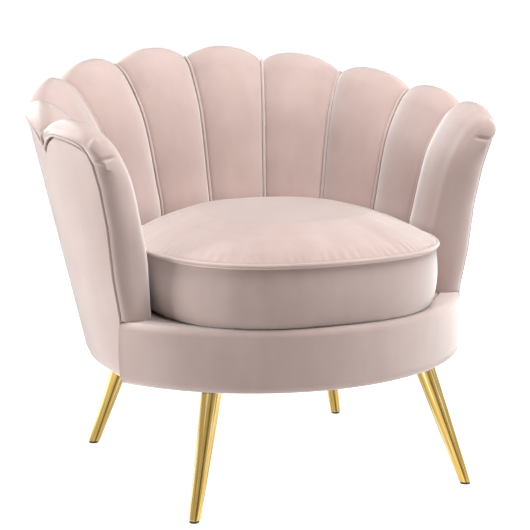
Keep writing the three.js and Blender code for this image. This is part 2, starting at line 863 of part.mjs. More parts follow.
function addLegs() {
  legCorners().forEach((corner) => {
    const widen = (level) => mix(legFootRadius, legTopRadius, level / legTop);
    const bottom = legFootLevel + seat;
    const stemRadius = legFootRadius - legWall - seat;
    const leg = [
      slantedRing(corner, bottom, widen(bottom) - legFootRound),
      slantedRing(corner, bottom + legFootRound, widen(bottom)),
      slantedRing(corner, legTop, legTopRadius),
      slantedRing(corner, legTop, legTopRadius - legWall),
      slantedRing(corner, bottom, legFootRadius - legWall),
    ];
    add("leg_" + corner.name, loft(leg, true), brass);
    const glide = [
      slantedRing(corner, 0, glideRadius - glideEdge),
      slantedRing(corner, glideEdge, glideRadius),
      slantedRing(corner, legFootLevel, glideRadius),
      slantedRing(corner, legFootLevel, stemRadius),
      slantedRing(corner, glideStemHeight, stemRadius),
    ];
    add("glide_" + corner.name, loft(glide), plastic);
    add("leg_plate_" + corner.name, legPlate(corner), steel);
  });
}

// Four round bars where a leg plate's screws stand: their shanks, their heads, or the holes for them
function screwTools(angle, radius, length, bottom) {
  const reach = legPoint(1).length() - plateShift;
  const half = screwSpacing / 2;
  return [[-half, -half], [-half, half], [half, -half], [half, half]].map(([out, step]) => {
    const bar = new THREE.CylinderGeometry(radius, radius, length, screwSides);
    bar.rotateX(Math.PI / 2);
    const centre = place(angle, reach + out, bottom + length / 2, step);
    return bar.translate(centre.x, centre.y, centre.z);
  });
}

function legPlate(corner) {
  const plate = new THREE.BoxGeometry(plateSize, plateSize, plateThickness);
  plate.rotateZ(-corner.angle);
  const middle = footLevel - seat - plateThickness / 2;
  const centre = place(corner.angle, legPoint(1).length() - plateShift, middle);
  plate.translate(centre.x, centre.y, centre.z);
  const shanks = screwTools(corner.angle, screwRadius, screwLength, middle);
  const headLevel = footLevel - seat - plateThickness - screwHeadHeight;
  const heads = screwTools(corner.angle, screwHeadRadius, screwHeadHeight + plateThickness / 2, headLevel);
  return join([plate, ...shanks, ...heads]);
}

// Seat cushion

function cushionReach(angle) {
  const isRear = Math.cos(angle) > 0;
  const depth = isRear ? cushionRearReach : cushionFrontReach;
  return planReach(angle, cushionHalfWidth, depth, isRear ? cushionPower : cushionFrontPower);
}

function cushionRing(inset, share, level) {
  return steps(0, fullTurn, cushionSteps).slice(1).map((angle) => {
    const point = place(angle, (cushionReach(angle) - inset) * share, level);
    point.y += cushionCentre;
    return point;
  });
}

function addCushion() {
  const notch = cushionPipingRadius + seat;
  const wallTop = cushionPipingLevel - notch;
  const sideHeight = wallTop - paddingFoot;
  const rings = [cushionRing(cushionEdgeInset, 1, paddingFoot)];
  sideLevelShares.forEach((share, i) => {
    rings.push(cushionRing(-cushionSideBulge * sideBulgeShares[i], 1, paddingFoot + sideHeight * share));
  });
  rings.push(cushionRing(0, 1, wallTop));
  rings.push(cushionRing(notch, 1, wallTop));
  rings.push(cushionRing(notch, 1, cushionPipingLevel + cushionPipingRadius / 2));
  crownReachShares.forEach((share, i) => {
    const level = cushionPipingLevel + cushionPipingRadius / 2 + cushionCrown * crownRiseShares[i];
    rings.push(cushionRing(notch, share, level));
  });
  add("seat_cushion", loft(rings), velvet);
  const centreline = cushionRing(0, 1, cushionPipingLevel);
  const guides = centreline.map(() => new THREE.Vector3(0, 0, 1));
  const piping = tube(centreline, guides, cushionPipingRadius, cushionPipingSides, true);
  add("cushion_piping", piping, velvetEdge);
  addZip(sideHeight);
}

function addZip(sideHeight) {
  const middle = paddingFoot + sideHeight * sideLevelShares[2];
  const inner = cushionSideBulge + 2 * seat;
  const rings = steps(-zipSteps / 2, zipSteps / 2, zipSteps).map((count) => {
    const angle = (fullTurn * count) / cushionSteps;
    const near = cushionReach(angle) + inner;
    return [
      [near, middle - zipWidth / 2],
      [near + zipThickness, middle - zipWidth / 2],
      [near + zipThickness, middle + zipWidth / 2],
      [near, middle + zipWidth / 2],
    ].map(([reach, level]) => {
      const point = place(angle, reach, level);
      point.y += cushionCentre;
      return point;
    });
  });
  add("cushion_zip", loft(rings), plastic);
}

addPetals();
addCovers();
addOuterPiping();
addSeatFrame();
addBackFrame();
addLiner();
addBand();
addSeatSupport();
addDustCover();
addLegs();
addCushion();

// The chair stands centred over its origin
const bounds = new THREE.Box3().setFromObject(chair);
chair.position.y = -(bounds.min.y + bounds.max.y) / 2;

export default chair;
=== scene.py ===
"""Looks of the scallop back tub chair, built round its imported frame.

Metres, +Z up. The chair's front faces -Y, and left and right are as seen from the front.
"""

import json
import logging
import math
from dataclasses import dataclass, field
from enum import Enum
from functools import cached_property
from typing import Callable, Sequence

import bmesh
import bpy
from mathutils import Matrix, Vector


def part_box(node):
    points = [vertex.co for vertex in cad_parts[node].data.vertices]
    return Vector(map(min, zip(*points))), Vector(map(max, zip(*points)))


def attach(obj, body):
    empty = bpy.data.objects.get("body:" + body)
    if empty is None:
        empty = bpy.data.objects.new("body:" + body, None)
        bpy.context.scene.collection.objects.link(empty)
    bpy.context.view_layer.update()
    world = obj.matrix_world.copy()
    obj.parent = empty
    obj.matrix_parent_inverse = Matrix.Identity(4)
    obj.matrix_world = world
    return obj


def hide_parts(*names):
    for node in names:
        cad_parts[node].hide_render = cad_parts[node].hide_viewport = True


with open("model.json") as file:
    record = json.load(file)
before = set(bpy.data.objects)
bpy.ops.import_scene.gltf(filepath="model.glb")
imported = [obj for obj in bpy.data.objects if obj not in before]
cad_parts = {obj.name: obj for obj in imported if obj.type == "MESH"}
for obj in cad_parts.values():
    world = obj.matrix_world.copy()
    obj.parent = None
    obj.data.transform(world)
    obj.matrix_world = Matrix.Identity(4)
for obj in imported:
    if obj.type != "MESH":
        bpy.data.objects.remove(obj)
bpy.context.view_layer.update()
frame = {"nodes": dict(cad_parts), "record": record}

log = logging.getLogger("chair")

Point = tuple[float, float]
Triple = tuple[float, float, float]
Colour = Triple
Place = Callable[[float, float], Vector]
Material = bpy.types.Material
Socket = bpy.types.NodeSocket

FULL_TURN = 2 * math.pi
SMALL_STEP = 0.01


class Body(Enum):
    """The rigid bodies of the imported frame."""

    TUB = "tub"
    CUSHION = "cushion"


class Side(Enum):
    """Which half of the chair a piece is on, seen from the front."""

    LEFT = -1
    RIGHT = 1

    @property
    def word(self) -> str:
        """The side's name in lower case, as the frame's nodes have it."""
        return self.name.lower()


# Plain numbers


def mix(start: float, end: float, share: float) -> float:
    """A value between two others.

    Args:
        start: Value at a share of 0.
        end: Value at a share of 1.
        share: How far along.

    Returns:
        The value at that share.
    """
    return start + (end - start) * share


def along(shares: Sequence[float], values: Sequence[float], share: float) -> float:
    """Reads a table of values by straight lines, also past its ends.

    Args:
        shares: Rising places in the table.
        values: One value for each place.
        share: The place to read.

    Returns:
        The value there.
    """
    i = 0
    while i < len(shares) - 2 and share > shares[i + 1]:
        i += 1
    return mix(values[i], values[i + 1], (share - shares[i]) / (shares[i + 1] - shares[i]))


def smoothstep(low: float, high: float, value: float) -> float:
    """Rises softly from 0 at low to 1 at high.

    Args:
        low: Where the rise starts.
        high: Where it ends.
        value: The place to read.

    Returns:
        A share from 0 to 1.
    """
    t = min(1.0, max(0.0, (value - low) / (high - low)))
    return t * t * (3 - 2 * t)


def bell(distance: float, width: float) -> float:
    """A soft bump of height 1 that fades over a width.

    Args:
        distance: Distance from the bump's middle.
        width: Distance at which it has all but gone.

    Returns:
        The bump's height.
    """
    return math.exp(-((2 * distance / width) ** 2))


def quarter_turns(steps: int, first: int = 0) -> list[float]:
    """Angles that divide a quarter turn evenly.

    Args:
        steps: How many steps the quarter has.
        first: Number of the first angle that is wanted.

    Returns:
        The angles, up to the full quarter.
    """
    return [math.pi / 2 * i / steps for i in range(first, steps + 1)]


def soft_line(points: Sequence[Point], share: float) -> Point:
    """Reads a smooth curve that passes through its points.

    Args:
        points: The curve's points, in order.
        share: Place on the curve, from 0 to 1, counted in points.

    Returns:
        The point there.
    """
    last = len(points) - 1
    place = min(max(share, 0.0), 1.0) * last
    i = min(int(place), last - 1)
    t = place - i
    p0 = points[max(0, i - 1)]
    p1 = points[i]
    p2 = points[i + 1]
    p3 = points[min(last, i + 2)]

    def blend(a: float, b: float, c: float, d: float) -> float:
        """One coordinate of the curve, from the four points round it.

        Args:
            a: The coordinate of the point before the span.
            b: That of the span's first point.
            c: That of its second point.
            d: That of the point after it.

        Returns:
            The coordinate at this place.
        """
        first = 2 * b + (c - a) * t
        second = (2 * a - 5 * b + 4 * c - d) * t * t
        third = (3 * b - a - 3 * c + d) * t ** 3
        return (first + second + third) / 2

    return blend(p0[0], p1[0], p2[0], p3[0]), blend(p0[1], p1[1], p2[1], p3[1])


# The tub's form, which the padding, covers and piping share


@dataclass(frozen=True)
class TubForm:
    """Sizes of the tub as the frame has them, round a centre of its own."""

    plan_power: float = 2.2
    foot_level: float = 0.215
    foot_half_width: float = 0.334
    foot_rear_reach: float = 0.338
    rim_level: float = 0.652
    rim_half_width: float = 0.434
    rear_rim_level: float = 0.735
    rear_rim_reach: float = 0.455
    arm_end: float = math.radians(107.5)
    arm_tuck: float = math.radians(70)
    arm_top_level: float = 0.617
    arm_levels: tuple[float, ...] = (0, 0.28, 0.46, 0.67, 0.85, 1)
    arm_edge_offsets: tuple[float, ...] = (-0.006, -0.025, -0.028, -0.038, -0.040, -0.035)
    petals_per_side: int = 5
    padding_foot: float = 0.3223
    rear_padding: float = 0.076
    side_padding: float = 0.0683
    rear_crest_level: float = 0.731
    side_crest_level: float = 0.639
    roll_reach: float = 0.031
    roll_reaches: tuple[float, ...] = (0.5, 0.87)
    roll_drops: tuple[float, ...] = (0.09, 0.4)
    padding_reaches: tuple[float, ...] = (0, 0.05, 0.15, 0.3, 0.42, 0.55, 0.7, 0.84, 1)
    padding_heights: tuple[float, ...] = (0, 0.3, 0.45, 0.65, 0.765, 0.845, 0.917, 0.969, 1)
    scallop_notch_drop: float = 0.037
    scallop_rise: float = 0.036
    arm_scallop_share: float = 0.5
    arm_corner: float = 0.022
    scallop_power: float = 2.5
    cover_thickness: float = 0.008
    piping_radius: float = 0.0027
    seat: float = 0.0003
    band_centre: float = 0.082
    band_reach: float = 0.389

    @property
    def petal_angle(self) -> float:
        """Angle that one petal takes round the tub."""
        return self.arm_end / self.petals_per_side

    @cached_property
    def centre_y(self) -> float:
        """Where the tub's centre stands in the frame, from the band's front face."""
        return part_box("front_band")[0][1] + self.band_reach - self.band_centre

    def point(self, angle: float, reach: float, level: float, step: float = 0.0) -> Vector:
        """A point in the frame.

        Args:
            angle: Angle from the rear, positive to the right.
            reach: Distance from the tub's centre in plan.
            level: Height over the floor.
            step: Further step along the outline.

        Returns:
            The point.
        """
        x = reach * math.sin(angle) + step * math.cos(angle)
        y = reach * math.cos(angle) - step * math.sin(angle)
        return Vector((x, y + self.centre_y, level))

    def plan_reach(
        self, angle: float, half_width: float, depth: float, power: float | None = None
    ) -> float:
        """Reach of a rounded plan outline.

        Args:
            angle: Angle from the rear.
            half_width: The outline's half width.
            depth: Its reach at the rear.
            power: How square it is, or the tub's own.

        Returns:
            The outline's reach at that angle.
        """
        power = power or self.plan_power
        across = (abs(math.sin(angle)) / half_width) ** power
        lengthwise = (abs(math.cos(angle)) / depth) ** power
        return (across + lengthwise) ** (-1 / power)

    def half_width(self, level: float) -> float:
        """Half width of the tub's outer face at a level."""
        share = (level - self.foot_level) / (self.rim_level - self.foot_level)
        return mix(self.foot_half_width, self.rim_half_width, share)

    def rear_reach(self, level: float) -> float:
        """Reach of the tub's rear centre at a level."""
        share = (level - self.foot_level) / (self.rear_rim_level - self.foot_level)
        return mix(self.foot_rear_reach, self.rear_rim_reach, share)

    def arm_share(self, angle: float) -> float:
        """Share of the way round the arm's front, 1 at its front edge."""
        return max(0.0, (abs(angle) - self.arm_tuck) / (self.arm_end - self.arm_tuck))

    def shell_reach(self, angle: float, level: float) -> float:
        """Reach of the tub's outer face.

        Args:
            angle: Angle from the rear.
            level: Height over the floor.

        Returns:
            The reach there.
        """
        turn = abs(angle)
        half_width = self.half_width(level)
        rear = self.rear_reach(level)
        plain = self.plan_reach(turn, half_width, rear)
        height = (level - self.foot_level) / (self.arm_top_level - self.foot_level)
        edge_width = half_width + along(self.arm_levels, self.arm_edge_offsets, height)
        edge = edge_width / math.sin(self.arm_end)
        plain_edge = self.plan_reach(self.arm_end, half_width, rear)
        return plain + (edge - plain_edge) * self.arm_share(turn) ** 2

    def crest_level(self, angle: float) -> float:
        """Level of the padding's crest along a seam at an angle."""
        turn = min(1.0, abs(angle) / self.arm_end)
        return mix(self.side_crest_level, self.rear_crest_level, (1 + math.cos(math.pi * turn)) / 2)

    def scallop_place(self, angle: float) -> float:
        """Place across a scallop: -1 and 1 at its notches, 0 at its peak.

        Args:
            angle: Angle from the rear.

        Returns:
            The place, from -1 to 1.
        """
        count = abs(angle) / self.petal_angle
        nearest = round(count)
        if abs(count - nearest) < 1e-4:
            return 1.0
        return 2 * (count - math.floor(count)) - 1

    def scallop_share(self, angle: float) -> float:
        """Share of a scallop's height: the half that ends at an arm's front falls less."""
        return self.arm_scallop_share if abs(angle) > self.arm_end - self.petal_angle / 2 else 1.0

    def piping_level(self, angle: float) -> float:
        """Level of the outer piping, scalloped petal by petal.

        Args:
            angle: Angle from the rear.

        Returns:
            The level of the piping's middle.
        """
        fall = self.scallop_share(angle) * abs(self.scallop_place(angle)) ** self.scallop_power
        past = 1 - (self.arm_end - abs(angle)) * self.rim_half_width / self.arm_corner
        corner = self.arm_corner * (1 - math.sqrt(1 - min(1.0, max(0.0, past)) ** 2))
        notch = self.crest_level(angle) - self.scallop_notch_drop
        return notch + self.scallop_rise * (1 - fall) - corner

    def piping_room(self, angle: float) -> float:
        """Rise from the piping's middle to what lies on it, where its scallop is steep.

        Args:
            angle: Angle from the rear.

        Returns:
            The rise.
        """
        w = abs(self.scallop_place(angle))
        steep = self.scallop_power * w ** (self.scallop_power - 1)
        rise = self.scallop_share(angle) * self.scallop_rise * steep
        run = (self.petal_angle / 2) * self.shell_reach(angle, self.rim_level)
        return (self.piping_radius + self.seat) * math.sqrt(1 + (rise / run) ** 2)

    def band_arc(self, angle: float, radius: float) -> float:
        """Reach of a circle round the band's own centre, from the tub's centre at an angle."""
        back = self.band_centre
        return back * math.cos(angle) + math.sqrt(radius ** 2 - (back * math.sin(angle)) ** 2)

    def seam_line(self, angle: float) -> list[Point]:
        """The seam between two petals, from the deck over the crest to the roll's back.

        Args:
            angle: Angle from the rear.

        Returns:
            Reach and level of its points.
        """
        turn = abs(angle)
        foot = self.plan_reach(
            turn,
            self.half_width(self.padding_foot) - self.side_padding,
            self.rear_reach(self.padding_foot) - self.rear_padding,
        )
        crest = self.crest_level(angle)
        crest_reach = self.shell_reach(turn, crest) - self.roll_reach
        line = [
            (mix(foot, crest_reach, share), mix(self.padding_foot, crest, height))
            for share, height in zip(self.padding_reaches, self.padding_heights)
        ]
        fall = crest - self.piping_level(angle)
        for share, drop in zip(self.roll_reaches, self.roll_drops):
            line.append((crest_reach + self.roll_reach * share, crest - fall * drop))
        return line


# Mesh building


def new_object(
    name: str, bm: bmesh.types.BMesh, smooth_angle: float = math.radians(50)
) -> bpy.types.Object:
    """Turns a bmesh into an object with smooth faces and true edges left sharp.

    Args:
        name: The object's name.
        bm: The shape, which is freed.
        smooth_angle: Edges that turn more than this stay sharp.

    Returns:
        The object, at the origin.
    """
    bm.normal_update()
    for face in bm.faces:
        face.smooth = True
    for edge in bm.edges:
        edge.smooth = edge.calc_face_angle(0) < smooth_angle
    mesh = bpy.data.meshes.new(name)
    bm.to_mesh(mesh)
    bm.free()
    made = bpy.data.objects.new(name, mesh)
    bpy.context.scene.collection.objects.link(made)
    return made


def bend_grid(columns: int, rows: int, place: Place) -> bmesh.types.BMesh:
    """Bends a flat grid into a closed shape, with its open ends filled.

    Args:
        columns: Steps across, with u from 0 to 1.
        rows: Steps along, with v from 0 to 1.
        place: Where a point at (u, v) goes.

    Returns:
        The shape, with its u and v kept as a UV map.
    """
    bm = bmesh.new()
    bmesh.ops.create_grid(bm, x_segments=columns, y_segments=rows, size=0.5)
    uv = bm.loops.layers.uv.new("UVMap")
    for face in bm.faces:
        for loop in face.loops:
            loop[uv].uv = (loop.vert.co.x + 0.5, loop.vert.co.y + 0.5)
    for vert in bm.verts:
        vert.co = place(vert.co.x + 0.5, vert.co.y + 0.5)
    bmesh.ops.remove_doubles(bm, verts=bm.verts, dist=1e-6)
    edges = [edge for edge in bm.edges if edge.is_boundary]
    if edges:
        filled = bmesh.ops.holes_fill(bm, edges=edges, sides=0)
        bmesh.ops.triangulate(bm, faces=filled["faces"])
    bmesh.ops.dissolve_degenerate(bm, dist=1e-7, edges=bm.edges)
    bmesh.ops.recalc_face_normals(bm, faces=bm.faces)
    return bm


def tube_place(
    path: Sequence[Vector], guides: Sequence[Vector], radius: float, closed: bool = False
) -> Place:
    """How a grid wraps round a path, with u along it and v round it.

    Args:
        path: The path's points.
        guides: A direction at each point that fixes the section's turn.
        radius: The tube's radius.
        closed: Whether the path ends where it starts.

    Returns:
        The place of a point at (u, v).
    """
    count = len(path) if closed else len(path) - 1

    def place(u: float, v: float) -> Vector:
        """Point on the tube's skin.

        Args:
            u: Place across the grid, from 0 to 1.
            v: Place along the grid, from 0 to 1.

        Returns:
            The point.
        """
        i = round(u * count)
        if closed:
            i %= count
            before, after = path[i - 1], path[(i + 1) % count]
        else:
            before, after = path[max(0, i - 1)], path[min(count, i + 1)]
        tangent = (after - before).normalized()
        across = tangent.cross(guides[i]).normalized()
        out = across.cross(tangent)
        turn = FULL_TURN * v
        return path[i] + radius * (math.cos(turn) * out + math.sin(turn) * across)

    return place


def smooth_more(piece: bpy.types.Object) -> None:
    """Finishes a piece with one step of subdivision, the same in the view and the render."""
    finish = piece.modifiers.new("round", "SUBSURF")
    finish.levels = finish.render_levels = 1


# Finishes


class NodeSheet:
    """A short way to build a material's nodes."""

    def __init__(self, name: str) -> None:
        """Starts a material.

        Args:
            name: The material's name.
        """
        self.material = bpy.data.materials.new(name)
        self.material.use_nodes = True
        self.tree = self.material.node_tree
        self.shader = self.tree.nodes["Principled BSDF"]

    def add(self, kind: str, **values: object) -> bpy.types.Node:
        """Adds a node.

        Args:
            kind: The node's type.
            values: Its properties, or its inputs by name with spaces as underscores.

        Returns:
            The node.
        """
        node = self.tree.nodes.new(kind)
        for key, value in values.items():
            if hasattr(node, key):
                setattr(node, key, value)
            else:
                node.inputs[key.replace("_", " ")].default_value = value
        return node

    def link(self, source: Socket, target: Socket) -> None:
        """Joins two sockets."""
        self.tree.links.new(source, target)

    def feed(self, name: str, source: Socket) -> None:
        """Joins a socket to one of the shader's own inputs."""
        self.link(source, self.shader.inputs[name])

    def blend(self, first: Socket, second: Socket, share: float) -> Socket:
        """Mixes two values.

        Args:
            first: The first value's socket.
            second: The second value's socket.
            share: Share of the second.

        Returns:
            The mixed value's socket.
        """
        mixed = self.add("ShaderNodeMix", data_type="FLOAT")
        mixed.inputs[0].default_value = share
        self.link(first, mixed.inputs[2])
        self.link(second, mixed.inputs[3])
        return mixed.outputs[0]

    def coordinates(self, scale: Triple = (1, 1, 1), uv: bool = False) -> Socket:
        """Scaled object coordinates, or the piece's own UV map.

        Args:
            scale: Scale along each axis.
            uv: Whether the UV map is read.

        Returns:
            The coordinates' socket.
        """
        source = self.add("ShaderNodeTexCoord")
        mapping = self.add("ShaderNodeMapping", Scale=scale)
        self.link(source.outputs["UV" if uv else "Object"], mapping.inputs["Vector"])
        return mapping.outputs["Vector"]

    def noise(self, scale: float, detail: float = 2.0, where: Socket | None = None) -> Socket:
        """A noise value.

        Args:
            scale: The noise's scale.
            detail: Its detail.
            where: Coordinates that it reads, or the object's own.

        Returns:
            The value's socket.
        """
        node = self.add("ShaderNodeTexNoise", Scale=scale, Detail=detail)
        self.link(where or self.coordinates(), node.inputs["Vector"])
        return node.outputs["Fac"]

    def ramp(self, value: Socket, stops: Sequence[tuple[float, Colour]]) -> Socket:
        """Turns a value into a colour.

        Args:
            value: The value's socket.
            stops: Places and colours.

        Returns:
            The colour's socket.
        """
        node = self.add("ShaderNodeValToRGB")
        bar = node.color_ramp.elements
        while len(bar) < len(stops):
            bar.new(0.5)
        for element, (place, colour) in zip(bar, stops):
            element.position = place
            element.color = (*colour, 1)
        self.link(value, node.inputs["Fac"])
        return node.outputs["Color"]

    def bump(self, heights: Sequence[tuple[Socket, float, float]]) -> None:
        """Stacks bumps on the shader's normal.

        Args:
            heights: Each height's socket, strength and distance.
        """
        normal = None
        for height, strength, distance in heights:
            node = self.add("ShaderNodeBump", Strength=strength, Distance=distance)
            self.link(height, node.inputs["Height"])
            if normal is not None:
                self.link(normal, node.inputs["Normal"])
            normal = node.outputs["Normal"]
        self.feed("Normal", normal)

    def set(self, **values: object) -> None:
        """Sets the shader's own sockets."""
        for key, value in values.items():
            self.shader.inputs[key.replace("_", " ")].default_value = value


def paler(colour: Colour, share: float) -> Colour:
    """A colour made paler by a share."""
    return tuple(min(1.0, c * share + 0.01) for c in colour)


@dataclass(frozen=True)
class Finish:
    """A kind of surface, from which a material is made."""

    name: str

    def make(self) -> Material:
        """Builds the material.

        Returns:
            The material.
        """
        sheet = NodeSheet(self.name)
        self.paint(sheet)
        return sheet.material

    def paint(self, sheet: NodeSheet) -> None:
        """Fills a node sheet with this finish."""
        raise NotImplementedError


@dataclass(frozen=True)
class VelvetFinish(Finish):
    """Short-pile velvet whose nap lies a little unevenly."""

    name: str = "blush_velvet"
    deep: Colour = (0.415, 0.307, 0.282)
    light: Colour = (0.485, 0.370, 0.339)
    sheen: float = 1.0
    sheen_roughness: float = 0.5
    sheen_tint: Colour = (1.0, 1.0, 0.99)
    nap_scale: float = 7.0
    streak_scale: float = 30.0
    streak_share: float = 0.35
    hand_scale: float = 60.0
    pile_scale: float = 1500.0

    def paint(self, sheet: NodeSheet) -> None:
        """Fills a node sheet with this finish.

        Args:
            sheet: The sheet, with its shader in place.
        """
        nap = sheet.noise(self.nap_scale, 3.0)
        streaks = sheet.noise(self.streak_scale, 4.0, sheet.coordinates((1.0, 1.0, 0.35)))
        tone = sheet.blend(nap, streaks, self.streak_share)
        sheet.feed("Base Color", sheet.ramp(tone, [(0.32, self.deep), (0.68, self.light)]))
        sheet.set(Roughness=0.92, Sheen_Weight=self.sheen, Sheen_Roughness=self.sheen_roughness)
        sheet.set(Sheen_Tint=(*self.sheen_tint, 1), Specular_IOR_Level=0.15)
        pile = sheet.noise(self.pile_scale, 2.0)
        hand = sheet.noise(self.hand_scale, 3.0)
        sheet.bump([(hand, 0.12, 0.0012), (pile, 0.25, 0.0003)])


@dataclass(frozen=True)
class BrassFinish(Finish):
    """Brass-plated tube brushed along its length, with painted reflections: dark and bright streaks
    down it, set by the angle round the tube.
    """

    name: str = "brushed_brass"
    # The tones from deep to the palest are painted reflections: deep is a painted dark reflection
    # and the palest a painted glint.
    deep: Colour = (0.11, 0.068, 0.012)
    middle: Colour = (0.42, 0.28, 0.08)
    light: Colour = (0.78, 0.60, 0.30)
    polished: Colour = (0.95, 0.84, 0.60)
    tone_places: tuple[float, ...] = (0.36, 0.45, 0.53, 0.59, 0.66)
    # Scale of the painted reflection streaks round the leg.
    reflection_streak_scale: float = 2.3
    brush_share: float = 0.22
    smooth: float = 0.16
    rough: float = 0.27

    def paint(self, sheet: NodeSheet) -> None:
        """Fills a node sheet with this finish.

        Args:
            sheet: The sheet, with its shader in place.
        """
        split = sheet.add("ShaderNodeSeparateXYZ")
        sheet.link(sheet.coordinates((FULL_TURN, 0.25, 1.0), uv=True), split.inputs[0])
        ring = sheet.add("ShaderNodeCombineXYZ")
        for i, kind in enumerate(("COSINE", "SINE")):
            turn = sheet.add("ShaderNodeMath", operation=kind)
            sheet.link(split.outputs[0], turn.inputs[0])
            sheet.link(turn.outputs[0], ring.inputs[i])
        sheet.link(split.outputs[1], ring.inputs[2])
        # Painted reflections: lengthwise streaks of dark and bright base colour that change with
        # the angle round the leg.
        reflection_streaks = sheet.noise(self.reflection_streak_scale, 2.0, ring.outputs[0])
        brushed = sheet.noise(4.0, 3.0, sheet.coordinates((90.0, 1.2, 1.0), uv=True))
        mixed = sheet.blend(reflection_streaks, brushed, self.brush_share)
        tones = (self.deep, self.middle, self.middle, self.light, self.polished)
        sheet.feed("Base Color", sheet.ramp(mixed, list(zip(self.tone_places, tones))))
        rough = sheet.ramp(brushed, [(0.3, (self.smooth,) * 3), (0.7, (self.rough,) * 3)])
        sheet.feed("Roughness", rough)
        sheet.set(Metallic=1.0)
        sheet.bump([(brushed, 0.06, 0.0003)])


@dataclass(frozen=True)
class WoodFinish(Finish):
    """Plain timber, plywood or board, with grain along one axis."""

    deep: Colour
    light: Colour
    grain: Triple = (9.0, 9.0, 90.0)

    def paint(self, sheet: NodeSheet) -> None:
        """Fills a node sheet with this finish.

        Args:
            sheet: The sheet, with its shader in place.
        """
        where = sheet.coordinates(self.grain)
        rings = sheet.noise(1.0, 6.0, where)
        fibre = sheet.noise(900.0, 2.0)
        sheet.feed("Base Color", sheet.ramp(rings, [(0.3, self.deep), (0.62, self.light)]))
        sheet.set(Roughness=0.72)
        sheet.bump([(rings, 0.2, 0.0006), (fibre, 0.1, 0.0002)])


@dataclass(frozen=True)
class ClothFinish(Finish):
    """Plain woven or unwoven cloth."""

    colour: Colour
    threads: float = 700.0

    def paint(self, sheet: NodeSheet) -> None:
        """Fills a node sheet with this finish.

        Args:
            sheet: The sheet, with its shader in place.
        """
        where = sheet.coordinates()
        waves = []
        for direction in ("X", "Y"):
            wave = sheet.add("ShaderNodeTexWave", bands_direction=direction, Scale=self.threads)
            sheet.link(where, wave.inputs["Vector"])
            waves.append(wave.outputs["Fac"])
        tone = sheet.noise(25.0, 4.0)
        tones = [(0.3, self.colour), (0.75, paler(self.colour, 1.35))]
        sheet.feed("Base Color", sheet.ramp(tone, tones))
        sheet.set(Roughness=0.9)
        sheet.bump([(waves[0], 0.25, 0.0003), (waves[1], 0.25, 0.0003)])


@dataclass(frozen=True)
class PlainFinish(Finish):
    """Moulded plastic or plated steel with a fine grain."""

    colour: Colour
    roughness: float
    metallic: float = 0.0
    change: float = 0.06
    grain: float = 450.0

    def paint(self, sheet: NodeSheet) -> None:
        """Fills a node sheet with this finish.

        Args:
            sheet: The sheet, with its shader in place.
        """
        tone = sheet.noise(40.0, 4.0)
        fine = sheet.noise(self.grain, 3.0)
        tones = [(0.35, self.colour), (0.7, paler(self.colour, 1.25))]
        sheet.feed("Base Color", sheet.ramp(tone, tones))
        low, high = self.roughness - self.change, self.roughness + self.change
        rough = sheet.ramp(tone, [(0.35, (low,) * 3), (0.7, (high,) * 3)])
        sheet.feed("Roughness", rough)
        sheet.set(Metallic=self.metallic)
        sheet.bump([(fine, 0.12, 0.0002)])


def finish_field(finish: Finish) -> Material:
    """A dataclass field whose material is made together with its owner."""
    return field(default_factory=finish.make)


@dataclass
class Finishes:
    """Every finish of the chair, made once."""

    velvet: Material = finish_field(VelvetFinish())
    piping: Material = finish_field(VelvetFinish(name="blush_piping", light=(0.54, 0.41, 0.375)))
    brass: Material = finish_field(BrassFinish())
    timber: Material = finish_field(WoodFinish("pine", (0.42, 0.26, 0.12), (0.62, 0.44, 0.25)))
    plywood: Material = finish_field(
        WoodFinish("plywood", (0.36, 0.23, 0.12), (0.56, 0.4, 0.23), (90.0, 90.0, 9.0))
    )
    board: Material = finish_field(
        WoodFinish("board", (0.2, 0.12, 0.06), (0.3, 0.19, 0.1), (40.0, 40.0, 40.0))
    )
    webbing: Material = finish_field(ClothFinish("webbing", (0.09, 0.07, 0.06), 500.0))
    lining: Material = finish_field(ClothFinish("lining", (0.3, 0.24, 0.22), 900.0))
    dust_cloth: Material = finish_field(ClothFinish("dust_cloth", (0.02, 0.02, 0.02), 400.0))
    steel: Material = finish_field(PlainFinish("plated_steel", (0.5, 0.5, 0.52), 0.35, 1.0))
    plastic: Material = finish_field(PlainFinish("black_plastic", (0.02, 0.02, 0.02), 0.5))
    zip: Material = finish_field(PlainFinish("zip_tape", (0.42, 0.33, 0.3), 0.7))


def dress(
    piece: bpy.types.Object,
    material: Material,
    body: Body = Body.TUB,
    nodes: Sequence[str] = (),
) -> bpy.types.Object:
    """Gives a finished piece its material and its place in the frame.

    Args:
        piece: The piece.
        material: Its finish.
        body: The body that it rides on.
        nodes: Frame nodes that it stands for.

    Returns:
        The piece.
    """
    piece.data.materials.clear()
    piece.data.materials.append(material)
    if nodes:
        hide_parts(*nodes)
    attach(piece, body.value)
    log.info("%s: %d faces", piece.name, len(piece.data.polygons))
    return piece


@dataclass
class ChairPart:
    """One maker of the chair's pieces, with the form and the finishes that all share."""

    tub: TubForm
    finishes: Finishes


# Back and arms


